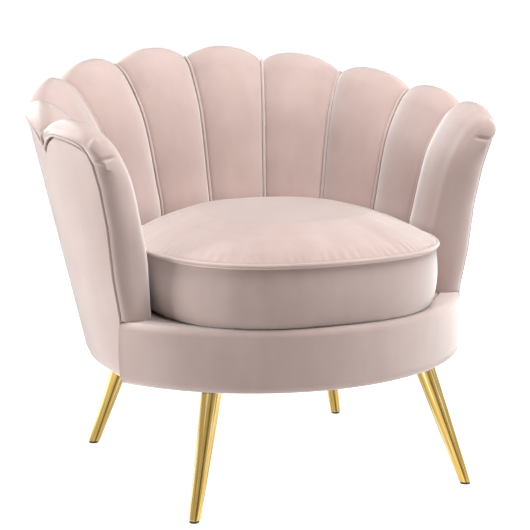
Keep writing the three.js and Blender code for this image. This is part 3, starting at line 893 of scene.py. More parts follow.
@dataclass
class Padding(ChairPart):
    """The ten petals, and the welts sewn between them."""

    crown: float = 0.024
    shape_power: float = 2.4
    crown_shares: tuple[float, ...] = (0.6, 0.7, 0.72, 0.75, 0.8, 0.85, 0.92, 0.98, 1, 0.9, 0.4)
    lip_crown: float = 0.1
    front_crown: float = 0.3
    nose_reach: float = 0.020
    front_thickness: float = 0.056
    back_inset: float = 0.062
    frame_level_side: float = 0.588
    frame_level_slope: float = 0.2075
    welt_radius: float = 0.0026
    welt_rise: float = 0.0008
    tuck_depth: float = 0.0035
    tuck_width: float = 0.010
    shown_share: float = 0.66
    back_share: float = 0.96
    dart_level: float = 0.606
    dart_slope: float = 0.12
    dart_start: Point = (-0.002, 0.004)
    dart_length: float = 0.042
    dart_depth: float = 0.003
    dart_width: float = 0.006
    shoulder_round: float = 0.02
    ease_width: float = 0.018
    ease_start: float = 0.018
    foot_room: float = 0.006
    ease_rounds: int = 100
    shelf_room: float = 0.012
    nose_turn: float = 0.97
    seam_crowding: float = 0.55
    back_steps: int = 24
    welt_steps: int = 72
    welt_sides: int = 12
    columns: int = 44
    rows: int = 108
    front_rows: int = 420
    nose_columns: int = 36

    def fullness(self, share: float, is_front: bool) -> float:
        """Share of the crown at a place across a petal.

        Args:
            share: Place across, -1 and 1 at its seams.
            is_front: Whether it is an arm's front petal.

        Returns:
            The share, 1 at the petal's middle.
        """
        depth = 1 - self.front_crown if is_front and share > 0 else 1
        return 1 - depth * abs(share) ** self.shape_power

    def front_line(self, angle: float, fullness: float, tuck: float) -> list[Point]:
        """The padding's shown line at an angle, from the deck to the lip over the piping.

        Args:
            angle: Angle from the rear.
            fullness: Share of the crown there.
            tuck: How far the cloth dives into the seam.

        Returns:
            Reach and level of its points.
        """
        line = self.tub.seam_line(angle)
        swell = self.crown * fullness
        points = []
        for i, (reach, level) in enumerate(line):
            before = line[max(0, i - 1)]
            after = line[min(len(line) - 1, i + 1)]
            run = after[0] - before[0]
            climb = after[1] - before[1]
            size = math.hypot(run, climb)
            push = swell * self.crown_shares[i] - tuck
            lift = 0 if i == 0 else push * run / size
            points.append((reach - push * climb / size, level + lift))
        lip = self.tub.piping_level(angle) + self.tub.piping_room(angle)
        points.append((self.tub.shell_reach(angle, lip) + swell * self.lip_crown - tuck, lip))
        return points

    def back_line(self, angle: float, whole: bool) -> list[Point]:
        """The rest of the section, under the piping and down behind the padding.

        Args:
            angle: Angle from the rear.
            whole: Whether the section takes the arm's whole thickness.

        Returns:
            Reach and level of its points.
        """
        tub = self.tub
        lip = tub.piping_level(angle) + tub.piping_room(angle)
        foot = tub.padding_foot
        if whole:
            steps = self.back_steps
            levels = [mix(lip - tub.seat, foot, i / steps) for i in range(steps + 1)]
            return [(tub.shell_reach(angle, level), level) for level in levels]
        inset = tub.cover_thickness + tub.piping_radius + tub.seat
        rearward = tub.shell_reach(angle, lip) * math.cos(angle)
        frame_level = self.frame_level_side + self.frame_level_slope * rearward
        shelf = min(frame_level, lip - self.shelf_room)
        return [
            (tub.shell_reach(angle, lip) - inset, lip - tub.seat),
            (tub.shell_reach(angle, shelf) - inset, shelf),
            (tub.shell_reach(angle, shelf) - self.back_inset, shelf),
            (tub.shell_reach(angle, foot) - self.back_inset, foot),
        ]

    def section(self, angle: float, fullness: float, tuck: float, whole: bool, v: float) -> Point:
        """A point on a petal's closed section.

        Args:
            angle: Angle from the rear.
            fullness: Share of the crown there.
            tuck: How far the cloth dives into the seam.
            whole: Whether the section takes the arm's whole thickness.
            v: Place round the section, from 0 to 1.

        Returns:
            Reach and level.
        """
        front = self.front_line(angle, fullness, tuck)
        if v <= self.shown_share:
            return soft_line(front, v / self.shown_share)
        back = [front[-1], *self.back_line(angle, whole)]
        if v <= self.back_share:
            place = (v - self.shown_share) / (self.back_share - self.shown_share) * (len(back) - 1)
        else:
            back = [back[-1], front[0]]
            place = (v - self.back_share) / (1 - self.back_share)
        i = min(int(place), len(back) - 2)
        t = place - i
        return mix(back[i][0], back[i + 1][0], t), mix(back[i][1], back[i + 1][1], t)

    def petal_place(self, index: int, side: Side) -> Place:
        """How a grid bends into one petal.

        Args:
            index: The petal's number from the rear, from 0.
            side: Its half of the chair.

        Returns:
            The place of a point at (u, v).
        """
        tub = self.tub
        is_front = index == tub.petals_per_side - 1
        nose = self.nose_columns if is_front else 0
        across = self.columns / (self.columns + nose)
        half = tub.petal_angle / 2 * tub.rim_half_width

        def place(u: float, v: float) -> Vector:
            """Point on the petal.

            Args:
                u: Place across the grid, from 0 to 1.
                v: Place along the grid, from 0 to 1.

            Returns:
                The point.
            """
            t = min(1.0, u / across)
            crowded = math.sin(math.pi * (t - 0.5))
            share = crowded * self.seam_crowding + (2 * t - 1) * (1 - self.seam_crowding)
            angle = tub.petal_angle * (index + (share + 1) / 2)
            at_front = is_front and share > 0
            edge = half * (1 - abs(share))
            tuck = 0.0 if at_front else self.tuck_depth * bell(edge, self.tuck_width)
            step = 0.0 if at_front else -share * self.welt_radius * 0.5
            fullness = self.fullness(share, is_front)
            if t < 1 or not is_front:
                reach, level = self.section(angle, fullness, tuck, False, v)
            else:
                reach, level, step = self.nose_point((u - across) / (1 - across), fullness, v)
            point = tub.point(angle, reach, level, step)
            point.x *= side.value
            return point

        return place

    def nose_point(self, turn_share: float, fullness: float, v: float) -> Triple:
        """A point on the round nose of an arm's front.

        Args:
            turn_share: Share of the quarter turn round the nose.
            fullness: Share of the crown where the nose starts.
            v: Place round the section.

        Returns:
            Reach, level and step forward.
        """
        tub = self.tub
        turn = turn_share * math.pi / 2 * self.nose_turn
        shrink = math.cos(turn)
        start = tub.piping_radius + 2 * tub.seat
        forward = start + self.nose_reach * math.sin(turn)
        reach, level = self.section(tub.arm_end, fullness, 0.0, True, v)
        spine = tub.shell_reach(tub.arm_end, level) - self.front_thickness / 2
        shoulder = tub.crest_level(tub.arm_end) + self.crown * fullness - self.front_thickness
        reach = mix(spine, reach, shrink)
        over = level - shoulder
        above = (over + math.hypot(over, self.shoulder_round)) / 2
        return reach, level - above * (1 - shrink), forward

    def at_arm_end(self, place: Vector, side: Side) -> Point:
        """Where a point lies as seen from an arm's end.

        Args:
            place: The point.
            side: The arm's half of the chair.

        Returns:
            How far it lies ahead of the end, and how far inwards of the shell.
        """
        tub = self.tub
        out = Vector((math.sin(tub.arm_end), math.cos(tub.arm_end)))
        ahead = Vector((math.cos(tub.arm_end), -math.sin(tub.arm_end)))
        flat = Vector((place.x * side.value, place.y - tub.centre_y))
        return flat.dot(ahead), tub.shell_reach(tub.arm_end, place.z) - flat.dot(out)

    def ease_nose(self, bm: bmesh.types.BMesh, side: Side) -> None:
        """Eases the bend between an arm's inner face and its nose.

        Args:
            bm: The front petal's mesh.
            side: Its half of the chair.
        """
        floor = self.tub.padding_foot + self.foot_room
        chosen = []
        for vert in bm.verts:
            ahead, inward = self.at_arm_end(vert.co, side)
            if abs(ahead) < self.ease_width and inward > self.ease_start and vert.co.z > floor:
                chosen.append(vert)
        axes = {f"use_axis_{axis}": True for axis in "xyz"}
        for _ in range(self.ease_rounds):
            bmesh.ops.smooth_vert(bm, verts=chosen, factor=0.5, **axes)

    def press_dart(self, bm: bmesh.types.BMesh, side: Side) -> None:
        """Presses the folded dart into an arm's nose, from the piping inwards.

        Args:
            bm: The front petal's mesh.
            side: Its half of the chair.
        """
        bm.normal_update()
        shifts = []
        for vert in bm.verts:
            ahead, inward = self.at_arm_end(vert.co, side)
            if ahead < 2 * self.tub.seat:
                continue
            line = self.dart_level + self.dart_slope * inward
            fade = 1 - smoothstep(0.5, 1.0, inward / self.dart_length)
            extent = smoothstep(*self.dart_start, inward) * fade
            depth = self.dart_depth * bell(vert.co.z - line, self.dart_width) * extent
            if depth > 0:
                shifts.append((vert, vert.normal * depth))
        for vert, shift in shifts:
            vert.co -= shift

    def build(self) -> None:
        """Makes the petals and the welts."""
        for side in Side:
            for index in range(self.tub.petals_per_side):
                is_front = index == self.tub.petals_per_side - 1
                columns = self.columns + (self.nose_columns if is_front else 0)
                rows = self.front_rows if is_front else self.rows
                bm = bend_grid(columns, rows, self.petal_place(index, side))
                if is_front:
                    self.ease_nose(bm, side)
                    self.press_dart(bm, side)
                name = f"petal_{side.word}_{index + 1}"
                piece = new_object(f"{name}_velvet", bm, math.radians(70))
                dress(piece, self.finishes.velvet, nodes=[name])
        last = self.tub.petals_per_side - 1
        for k in range(-last, last + 1):
            self.build_welt(k)

    def build_welt(self, k: int) -> None:
        """Makes the welt in one seam.

        Args:
            k: The seam's number, 0 at the rear centre and positive to the right.
        """
        tub = self.tub
        angle = tub.petal_angle * k
        count = self.welt_steps
        line = self.front_line(angle, 0.0, 0.0)
        path, guides = [], []
        for i in range(count + 1):
            share = i / count
            reach, level = soft_line(line, share)
            ahead = soft_line(line, min(1.0, share + SMALL_STEP))
            behind = soft_line(line, max(0.0, share - SMALL_STEP))
            run, climb = ahead[0] - behind[0], ahead[1] - behind[1]
            size = math.hypot(run, climb)
            back = -climb / size
            out = Vector((back * math.sin(angle), back * math.cos(angle), run / size))
            path.append(tub.point(angle, reach, level) + out * self.welt_rise)
            guides.append(out)
        bm = bend_grid(count, self.welt_sides, tube_place(path, guides, self.welt_radius))
        word = "centre" if k == 0 else ("left_" if k < 0 else "right_") + str(abs(k))
        piece = new_object(f"petal_welt_{word}", bm)
        dress(piece, self.finishes.piping)


@dataclass
class OuterCover(ChairPart):
    """The three outer panels with their scalloped edge, and the piping along it."""

    side_panel_start: int = 2
    hem_rise: float = 0.027
    hem_drop: float = 0.0035
    hem_tuck: float = 0.016
    rail_inset: float = 0.018
    top_drop: float = 0.6
    top_rounding: float = 0.006
    top_tuck: float = 0.002
    outer_end: float = 0.66
    top_end: float = 0.7
    front_gap: float = 0.7
    piping_proud: float = 0.0006
    piping_tuck: float = 0.014
    piping_rows: int = 60
    scallop_steps: int = 34
    piping_sides: int = 12
    back_columns: int = 136
    side_columns: int = 102
    rows: int = 60

    def hem_turn(self, climb: float) -> float:
        """How far the cloth has turned in under the hem.

        Args:
            climb: Height above the hem.

        Returns:
            A share, 1 at the hem.
        """
        turn = max(0.0, 1 - climb / self.hem_rise)
        return 1 - math.sqrt(max(0.0, 1 - turn ** 2))

    def section(self, angle: float, v: float) -> Point:
        """A point on a panel's closed section.

        Args:
            angle: Angle from the rear.
            v: Place round the section, from 0 to 1.

        Returns:
            Reach and level.
        """
        tub = self.tub
        top = tub.piping_level(angle) - tub.piping_room(angle) * self.top_drop
        hem = tub.foot_level - self.hem_drop
        if v < self.outer_end:
            climb = mix(0, top - hem, v / self.outer_end)
            level = hem + climb
            tuck = self.hem_turn(climb) * self.hem_tuck
            edge = max(0.0, 1 - (top - level) / self.top_rounding)
            return tub.shell_reach(angle, level) - tuck - self.top_tuck * edge ** 2, level
        level = top if v < self.top_end else mix(top, hem, (v - self.top_end) / (1 - self.top_end))
        back = tub.cover_thickness if v < 1 else self.rail_inset - tub.seat
        return tub.shell_reach(angle, level) - back, level

    def panel(self, name: str, start: float, end: float, columns: int) -> None:
        """Makes one panel.

        Args:
            name: The frame node that it stands for.
            start: Angle of its left edge.
            end: Angle of its right edge.
            columns: Steps across.
        """
        tub = self.tub

        def place(u: float, v: float) -> Vector:
            """Point on the panel.

            Args:
                u: Place across the grid, from 0 to 1.
                v: Place along the grid, from 0 to 1.

            Returns:
                The point.
            """
            angle = mix(start, end, u)
            gap = 0.0
            if u in (0.0, 1.0):
                at_front = abs(angle) > tub.arm_end - 1e-4
                gap = tub.piping_radius * self.front_gap if at_front else tub.seat / 2
                gap = gap if u == 0 else -gap
            reach, level = self.section(angle, v)
            return tub.point(angle, reach, level, gap)

        bm = bend_grid(columns, self.rows, place)
        piece = new_object(f"{name}_velvet", bm)
        dress(piece, self.finishes.velvet, nodes=[name])

    def piping(self) -> None:
        """Makes the piping up one arm's front, round the scallops and down the other."""
        tub = self.tub
        foot = tub.foot_level - self.hem_drop + tub.piping_radius
        top = tub.piping_level(tub.arm_end)
        front = [mix(foot, top, i / self.piping_rows) for i in range(self.piping_rows)]
        path, guides = [], []

        def lay(angle: float, level: float) -> None:
            """Adds one point of the piping's run.

            Args:
                angle: Angle from the rear.
                level: Height over the floor.
            """
            tuck = self.hem_turn(level - foot) * self.piping_tuck
            reach = tub.shell_reach(angle, level) + self.piping_proud - tuck
            path.append(tub.point(angle, reach, level))
            guides.append(Vector((math.sin(angle), math.cos(angle), 0)))

        for level in front:
            lay(-tub.arm_end, level)
        for k in range(-tub.petals_per_side, tub.petals_per_side):
            for i in range(self.scallop_steps):
                angle = tub.petal_angle * (k + i / self.scallop_steps)
                lay(angle, tub.piping_level(angle))
        lay(tub.arm_end, top)
        for level in reversed(front):
            lay(tub.arm_end, level)
        tube = tube_place(path, guides, tub.piping_radius)
        bm = bend_grid(len(path) - 1, self.piping_sides, tube)
        piece = new_object("outer_piping_velvet", bm)
        dress(piece, self.finishes.piping, nodes=["outer_piping"])

    def build(self) -> None:
        """Makes the panels and the piping."""
        joint = self.side_panel_start * self.tub.petal_angle
        end = self.tub.arm_end
        self.panel("outer_cover_back", -joint, joint, self.back_columns)
        self.panel("outer_cover_right", joint, end, self.side_columns)
        self.panel("outer_cover_left", -end, -joint, self.side_columns)
        self.piping()


# Seat


@dataclass
class FrontBand(ChairPart):
    """The padded band under the cushion, between the arms."""

    padding: float = 0.014
    top: float = 0.322
    hem_radius: float = 0.022
    top_radius: float = 0.013
    flange_depth: float = 0.039
    flange_height: float = 0.019
    hem_drop: float = 0.0035
    swell: float = 0.003
    corner_steps: int = 8
    face_steps: int = 12
    columns: int = 120

    def outline(self) -> list[Point]:
        """The band's closed section, as radius and level.

        Returns:
            Radius and level of its points.
        """
        tub = self.tub
        face = tub.band_reach
        inner = face - self.padding + 2 * tub.seat
        hem = tub.foot_level - self.hem_drop
        points = [(inner, hem)]
        for turn in quarter_turns(self.corner_steps):
            reach = face - self.padding + self.padding * math.sin(turn)
            points.append((reach, hem + self.hem_radius * (1 - math.cos(turn))))
        for i in range(1, self.face_steps):
            t = i / self.face_steps
            level = mix(hem + self.hem_radius, self.top - self.top_radius, t)
            points.append((face + self.swell * math.sin(math.pi * t) * 0.5, level))
        high = self.top_radius
        for turn in quarter_turns(self.corner_steps):
            reach = face - high * (1 - math.cos(turn))
            points.append((reach, self.top - high * (1 - math.sin(turn))))
        points.append((face - self.flange_depth, self.top))
        points.append((face - self.flange_depth, self.top - self.flange_height))
        points.append((inner, self.top - self.flange_height))
        return points

    def build(self) -> None:
        """Makes the band."""
        tub = self.tub
        outline = self.outline()
        count = len(outline)
        start, end = tub.arm_end, FULL_TURN - tub.arm_end
        shift = tub.piping_radius + 2 * tub.seat

        def place(u: float, v: float) -> Vector:
            """Point on the band.

            Args:
                u: Place across the grid, from 0 to 1.
                v: Place along the grid, from 0 to 1.

            Returns:
                The point.
            """
            angle = mix(start, end, u)
            radius, level = outline[round(v * count) % count]
            step = shift if u == 0 else (-shift if u == 1 else 0.0)
            return tub.point(angle, tub.band_arc(angle, radius), level, step)

        bm = bend_grid(self.columns, count, place)
        piece = new_object("front_band_velvet", bm)
        dress(piece, self.finishes.velvet, nodes=["front_band"])


@dataclass
class SeatCushion(ChairPart):
    """The loose seat cushion: a crowned round-fronted box with piping round its top."""

    side_room: float = 0.024
    rear_room: float = 0.034
    front_room: float = 0.006
    centre: float = -0.048
    rear_power: float = 2.25
    front_power: float = 2.5
    piping_level: float = 0.432
    piping_radius: float = 0.0045
    crown: float = 0.047
    side_bulge: float = 0.006
    foot_inset: float = 0.011
    foot_shares: tuple[float, ...] = (0, 0.2, 0.4, 0.6, 0.8, 0.92)
    foot_round: float = 0.009
    wall_lean: float = 0.001
    notch_share: float = 0.55
    crown_shape: tuple[Point, ...] = (
        (1.0, 0.0), (0.985, 0.18), (0.93, 0.54), (0.82, 0.84),
        (0.66, 0.96), (0.45, 0.99), (0.22, 0.999), (0.0, 1.0),
    )
    shrink: float = 0.004
    shrink_fade: float = 0.02
    voxel: float = 0.006
    pin_width: float = 0.016
    pressure: float = 4.0
    stiffness: float = 12.0
    bending: float = 0.6
    last_frame: int = 20
    swell_cap: float = 0.010
    crease_share: float = 0.15
    even_rounds: int = 24
    pucker_depth: float = 0.0026
    pucker_radius: float = 0.255
    pucker_pitch: float = 430.0
    pucker_wander: float = 2.1
    pucker_wander_pitch: float = 60.0
    pucker_change: float = 0.35
    pucker_change_pitch: float = 97.0
    pucker_rear: float = 0.35
    pucker_turn: float = 0.25
    pucker_start: float = 0.007
    pucker_middle: float = 0.009
    pucker_width: float = 0.032
    pucker_end: float = 0.05
    corner_steps: int = 6
    wall_steps: int = 14
    crown_steps: int = 40
    columns: int = 180
    piping_steps: int = 240
    piping_sides: int = 14

    @property
    def foot(self) -> float:
        """Level of the cushion's underside."""
        return self.tub.padding_foot

    def reach(self, angle: float) -> float:
        """The cushion's plan outline from its own centre, at an angle from the rear.

        Args:
            angle: Angle from the rear.

        Returns:
            The outline's reach there.
        """
        tub = self.tub
        half = tub.half_width(self.foot) - tub.side_padding - self.side_room
        if math.cos(angle) > 0:
            depth = tub.rear_reach(self.foot) - tub.rear_padding - self.centre - self.rear_room
            return tub.plan_reach(angle, half, depth, self.rear_power)
        depth = tub.band_reach - tub.band_centre + self.centre - self.front_room
        return tub.plan_reach(angle, half, depth, self.front_power)

    def spot(self, angle: float, reach: float, level: float) -> Vector:
        """A point in the frame, from the cushion's own centre.

        Args:
            angle: Angle from the rear.
            reach: Distance from the cushion's own centre in plan.
            level: Height over the floor.

        Returns:
            The point.
        """
        point = self.tub.point(angle, reach, level)
        point.y += self.centre
        return point

    def polar(self, place: Vector) -> Point:
        """The angle from the rear and the reach of a point, from the cushion's own centre."""
        x, y = place.x, place.y - self.tub.centre_y - self.centre
        return math.atan2(x, y), math.hypot(x, y)

    def profile(self) -> list[Triple]:
        """The cushion's half section from the middle of its underside to its top.

        Returns:
            Inset from the outline, share of the reach, and level of each point.
        """
        foot, low = self.foot, self.foot_round
        notch = self.piping_radius * self.notch_share
        wall_top = self.piping_level - self.piping_radius * 0.5
        points = [(self.foot_inset, share, foot) for share in self.foot_shares]
        for turn in quarter_turns(self.corner_steps):
            inset = self.foot_inset - low * math.sin(turn)
            points.append((inset, 1.0, foot + low * (1 - math.cos(turn))))
        for i in range(1, self.wall_steps):
            t = i / self.wall_steps
            bulge = self.side_bulge * math.sin(math.pi * min(1.0, t * 1.02)) ** 0.7
            points.append((-bulge + (1 - t) * self.wall_lean, 1.0, mix(foot + low, wall_top, t)))
        points.append((notch * 0.6, 1.0, wall_top))
        points.append((notch, 1.0, self.piping_level))
        rise = self.piping_level + self.piping_radius * 0.4
        for i in range(self.crown_steps + 1):
            share, height = soft_line(self.crown_shape, i / self.crown_steps)
            points.append((notch * 1.1, share, rise + self.crown * height))
        return points

    def body_mesh(self) -> bmesh.types.BMesh:
        """The cushion's shape as sewn, before its filling swells it.

        Returns:
            The shape.
        """
        profile = self.profile()
        rows = len(profile) - 1

        def place(u: float, v: float) -> Vector:
            """Point on the cushion.

            Args:
                u: Place across the grid, from 0 to 1.
                v: Place along the grid, from 0 to 1.

            Returns:
                The point.
            """
            angle = FULL_TURN * u
            inset, share, level = profile[round(v * rows)]
            return self.spot(angle, (self.reach(angle) - inset) * share, level)

        return bend_grid(self.columns, rows, place)

    def swell(self, piece: bpy.types.Object) -> None:
        """Blows the cushion up as cloth and keeps what it gains.

        Args:
            piece: The cushion, whose mesh is replaced by the swollen one.
        """
        bm = bmesh.new()
        bm.from_mesh(piece.data)
        bm.normal_update()
        for vert in bm.verts:
            near_seam = bell(vert.co.z - self.piping_level, self.shrink_fade)
            flat = 1 if vert.co.z < self.foot + 0.001 else 0
            vert.co -= vert.normal * self.shrink * (1 - near_seam) * (1 - flat)
        bm.to_mesh(piece.data)
        bm.free()
        bpy.context.view_layer.objects.active = piece
        piece.select_set(True)
        remesh = piece.modifiers.new("even", "REMESH")
        remesh.mode = "VOXEL"
        remesh.voxel_size = self.voxel
        bpy.ops.object.modifier_apply(modifier=remesh.name)
        before = [vert.co.copy() for vert in piece.data.vertices]
        moves = [end - start for start, end in zip(before, self.simulated(piece))]
        broad = self.evened(piece.data, moves)
        for vert, start, move, even in zip(piece.data.vertices, before, moves, broad):
            move = even.lerp(move, self.crease_share)
            if move.length > self.swell_cap:
                move *= self.swell_cap / move.length
            vert.co = start + move
            vert.co.z = max(vert.co.z, self.foot)
        piece.vertex_groups.clear()
        piece.select_set(False)

    def simulated(self, piece: bpy.types.Object) -> list[Vector]:
        """Runs the cushion's cloth under pressure, pinned at its seam and its underside.

        Args:
            piece: The cushion.

        Returns:
            Where the pressure leaves each of its points.
        """
        pins = piece.vertex_groups.new(name="pins")
        for vert in piece.data.vertices:
            angle, reach = self.polar(vert.co)
            seam = math.hypot(reach - self.reach(angle), vert.co.z - self.piping_level)
            weight = max(bell(seam, self.pin_width), 1.0 if vert.co.z < self.foot + 0.002 else 0.0)
            pins.add([vert.index], weight, "REPLACE")
        cloth = piece.modifiers.new("cloth", "CLOTH")
        cloth.settings.use_pressure = True
        cloth.settings.uniform_pressure_force = self.pressure
        cloth.settings.effector_weights.gravity = 0
        cloth.settings.vertex_group_mass = pins.name
        cloth.settings.tension_stiffness = self.stiffness
        cloth.settings.compression_stiffness = self.stiffness
        cloth.settings.bending_stiffness = self.bending
        cloth.point_cache.frame_start = 1
        cloth.point_cache.frame_end = self.last_frame
        scene = bpy.context.scene
        for number in range(1, self.last_frame + 1):
            scene.frame_set(number)
        swollen = piece.evaluated_get(bpy.context.evaluated_depsgraph_get()).data
        after = [vert.co.copy() for vert in swollen.vertices]
        piece.modifiers.remove(cloth)
        scene.frame_set(1)
        return after

    def evened(self, mesh: bpy.types.Mesh, moves: Sequence[Vector]) -> list[Vector]:
        """Evens out how far the cloth's points move, so that only broad swelling stays.

        Args:
            mesh: The cushion's mesh.
            moves: How far each point moves.

        Returns:
            The evened moves.
        """
        near: list[list[int]] = [[] for _ in mesh.vertices]
        for edge in mesh.edges:
            first, second = edge.vertices
            near[first].append(second)
            near[second].append(first)
        for _ in range(self.even_rounds):
            moves = [
                sum((moves[j] for j in others), moves[i]) / (len(others) + 1)
                for i, others in enumerate(near)
            ]
        return list(moves)

    def pucker(self, piece: bpy.types.Object) -> None:
        """Gathers the top panel into small puckers along the piping.

        Args:
            piece: The cushion.
        """
        for vert in piece.data.vertices:
            angle, reach = self.polar(vert.co)
            inside = self.reach(angle) - reach
            if vert.co.z < self.piping_level or not 0 <= inside <= self.pucker_end:
                continue
            arc = angle * self.pucker_radius
            wander = self.pucker_wander * math.sin(arc * self.pucker_wander_pitch)
            wave = math.sin(arc * self.pucker_pitch + wander)
            change = math.sin(arc * self.pucker_change_pitch + 1.3)
            uneven = mix(1.0, change, self.pucker_change)
            facing = smoothstep(0.3, 1.0, -math.cos(angle + self.pucker_turn))
            front = mix(self.pucker_rear, 1.0, facing)
            past = max(0.0, inside - self.pucker_middle)
            fade = smoothstep(0.0, self.pucker_start, inside) * bell(past, self.pucker_width)
            vert.co.z += self.pucker_depth * wave * uneven * front * fade

    def build(self) -> None:
        """Makes the cushion and its piping."""
        piece = new_object("seat_cushion_velvet", self.body_mesh())
        self.swell(piece)
        for polygon in piece.data.polygons:
            polygon.use_smooth = True
        self.pucker(piece)
        smooth_more(piece)
        dress(piece, self.finishes.velvet, Body.CUSHION, ["seat_cushion"])
        count = self.piping_steps
        angles = [FULL_TURN * i / count for i in range(count)]
        path = [self.spot(angle, self.reach(angle), self.piping_level) for angle in angles]
        guides = [Vector((0, 0, 1))] * count
        tube = tube_place(path, guides, self.piping_radius, closed=True)
        bm = bend_grid(count, self.piping_sides, tube)
        piping = new_object("cushion_piping_velvet", bm)
        dress(piping, self.finishes.piping, Body.CUSHION, ["cushion_piping"])


# Legs


@dataclass
class Legs(ChairPart):
    """Four splayed tapered legs with plastic glides in their feet."""

    foot_reach: float = 0.264
    top_reach: float = 0.207
    top: float = 0.2102
    foot_radius: float = 0.0104
    top_radius: float = 0.0185
    foot_level: float = 0.0039
    foot_round: float = 0.0022
    foot_lip: float = 0.0006
    wall: float = 0.002
    glide_radius: float = 0.0099
    glide_inset: float = 0.0012
    glide_edge: float = 0.0012
    glide_top: float = 0.0036
    stem_height: float = 0.014
    corner_steps: int = 6
    wall_steps: int = 12
    sides: int = 64

    def lean(self, right: int, rear: int) -> Matrix:
        """How an upright leg leans into its place.

        Args:
            right: 1 on the right, -1 on the left.
            rear: 1 at the rear, -1 at the front.

        Returns:
            The matrix from the upright leg to the chair's frame.
        """
        slope = (self.top_reach - self.foot_reach) / self.top
        angle = math.atan(abs(slope) * math.sqrt(2))
        out = Vector((right, rear, 0)).normalized()
        stretch = Matrix.Scale(1 / math.cos(angle), 4, out)
        shear = Matrix.Identity(4)
        shear[0][2] = slope * right
        shear[1][2] = slope * rear
        foot = Vector((self.foot_reach * right, self.foot_reach * rear + self.tub.centre_y, 0))
        return Matrix.Translation(foot) @ shear @ stretch

    def turned(self, name: str, outline: Sequence[Point], where: Matrix) -> bpy.types.Object:
        """Spins an outline into a closed round piece and leans it.

        Args:
            name: The piece's name.
            outline: Radius and height of its points, a closed line or one from axis to axis.
            where: Its place.

        Returns:
            The piece.
        """
        bm = bmesh.new()
        verts = [bm.verts.new((radius, 0, height)) for radius, height in outline]
        for first, second in zip(verts, verts[1:]):
            bm.edges.new((first, second))
        if outline[0][0] > 0:
            bm.edges.new((verts[-1], verts[0]))
        bmesh.ops.spin(
            bm, geom=[*bm.verts, *bm.edges], cent=(0, 0, 0), axis=(0, 0, 1),
            angle=FULL_TURN, steps=self.sides, use_merge=True,
        )
        bmesh.ops.remove_doubles(bm, verts=bm.verts, dist=1e-6)
        uv = bm.loops.layers.uv.new("UVMap")
        for face in bm.faces:
            middle = face.calc_center_median()
            base = math.atan2(middle.y, middle.x) / FULL_TURN
            for loop in face.loops:
                turn = math.atan2(loop.vert.co.y, loop.vert.co.x) / FULL_TURN
                turn += round(base - turn)
                loop[uv].uv = (turn, loop.vert.co.z / self.top)
        bmesh.ops.transform(bm, matrix=where, verts=bm.verts)
        bmesh.ops.recalc_face_normals(bm, faces=bm.faces)
        return new_object(name, bm, math.radians(40))

    def leg_outline(self) -> list[Point]:
        """A leg's wall as a closed line: up the outside, over, and down the inside.

        Returns:
            Radius and height of its points.
        """
        low = self.foot_level
        points = []
        for turn in quarter_turns(self.corner_steps):
            radius = self.foot_radius - self.foot_round * (1 - math.sin(turn))
            points.append((radius, low + self.foot_round * (1 - math.cos(turn))))
        for i in range(1, self.wall_steps + 1):
            share = i / self.wall_steps
            radius = mix(self.foot_radius, self.top_radius, share)
            points.append((radius, mix(low + self.foot_round, self.top, share)))
        points.append((self.top_radius - self.wall, self.top))
        points.append((self.foot_radius - self.foot_round - self.foot_lip, low))
        return points

    def glide_outline(self) -> list[Point]:
        """A glide's line from the middle of its sole to the middle of its stem's end.

        Returns:
            Radius and height of its points.
        """
        radius, edge = self.glide_radius - self.glide_inset, self.glide_edge
        points = [(0.0, 0.0), (radius - edge, 0.0)]
        for turn in quarter_turns(self.corner_steps, 1):
            points.append((radius - edge * (1 - math.sin(turn)), edge * (1 - math.cos(turn))))
        stem = self.foot_radius - self.wall - self.foot_round
        points += [(radius, self.glide_top), (stem, self.glide_top)]
        points += [(stem, self.stem_height), (0.0, self.stem_height)]
        return points

    def build(self) -> None:
        """Makes the legs and glides."""
        for rear_word, rear in (("rear", 1), ("front", -1)):
            for side in Side:
                corner = f"{rear_word}_{side.word}"
                where = self.lean(side.value, rear)
                leg = self.turned(f"leg_{corner}_brass", self.leg_outline(), where)
                dress(leg, self.finishes.brass, nodes=[f"leg_{corner}"])
                glide = self.turned(f"glide_{corner}_plastic", self.glide_outline(), where)
                dress(glide, self.finishes.plastic, nodes=[f"glide_{corner}"])


# Hidden pieces


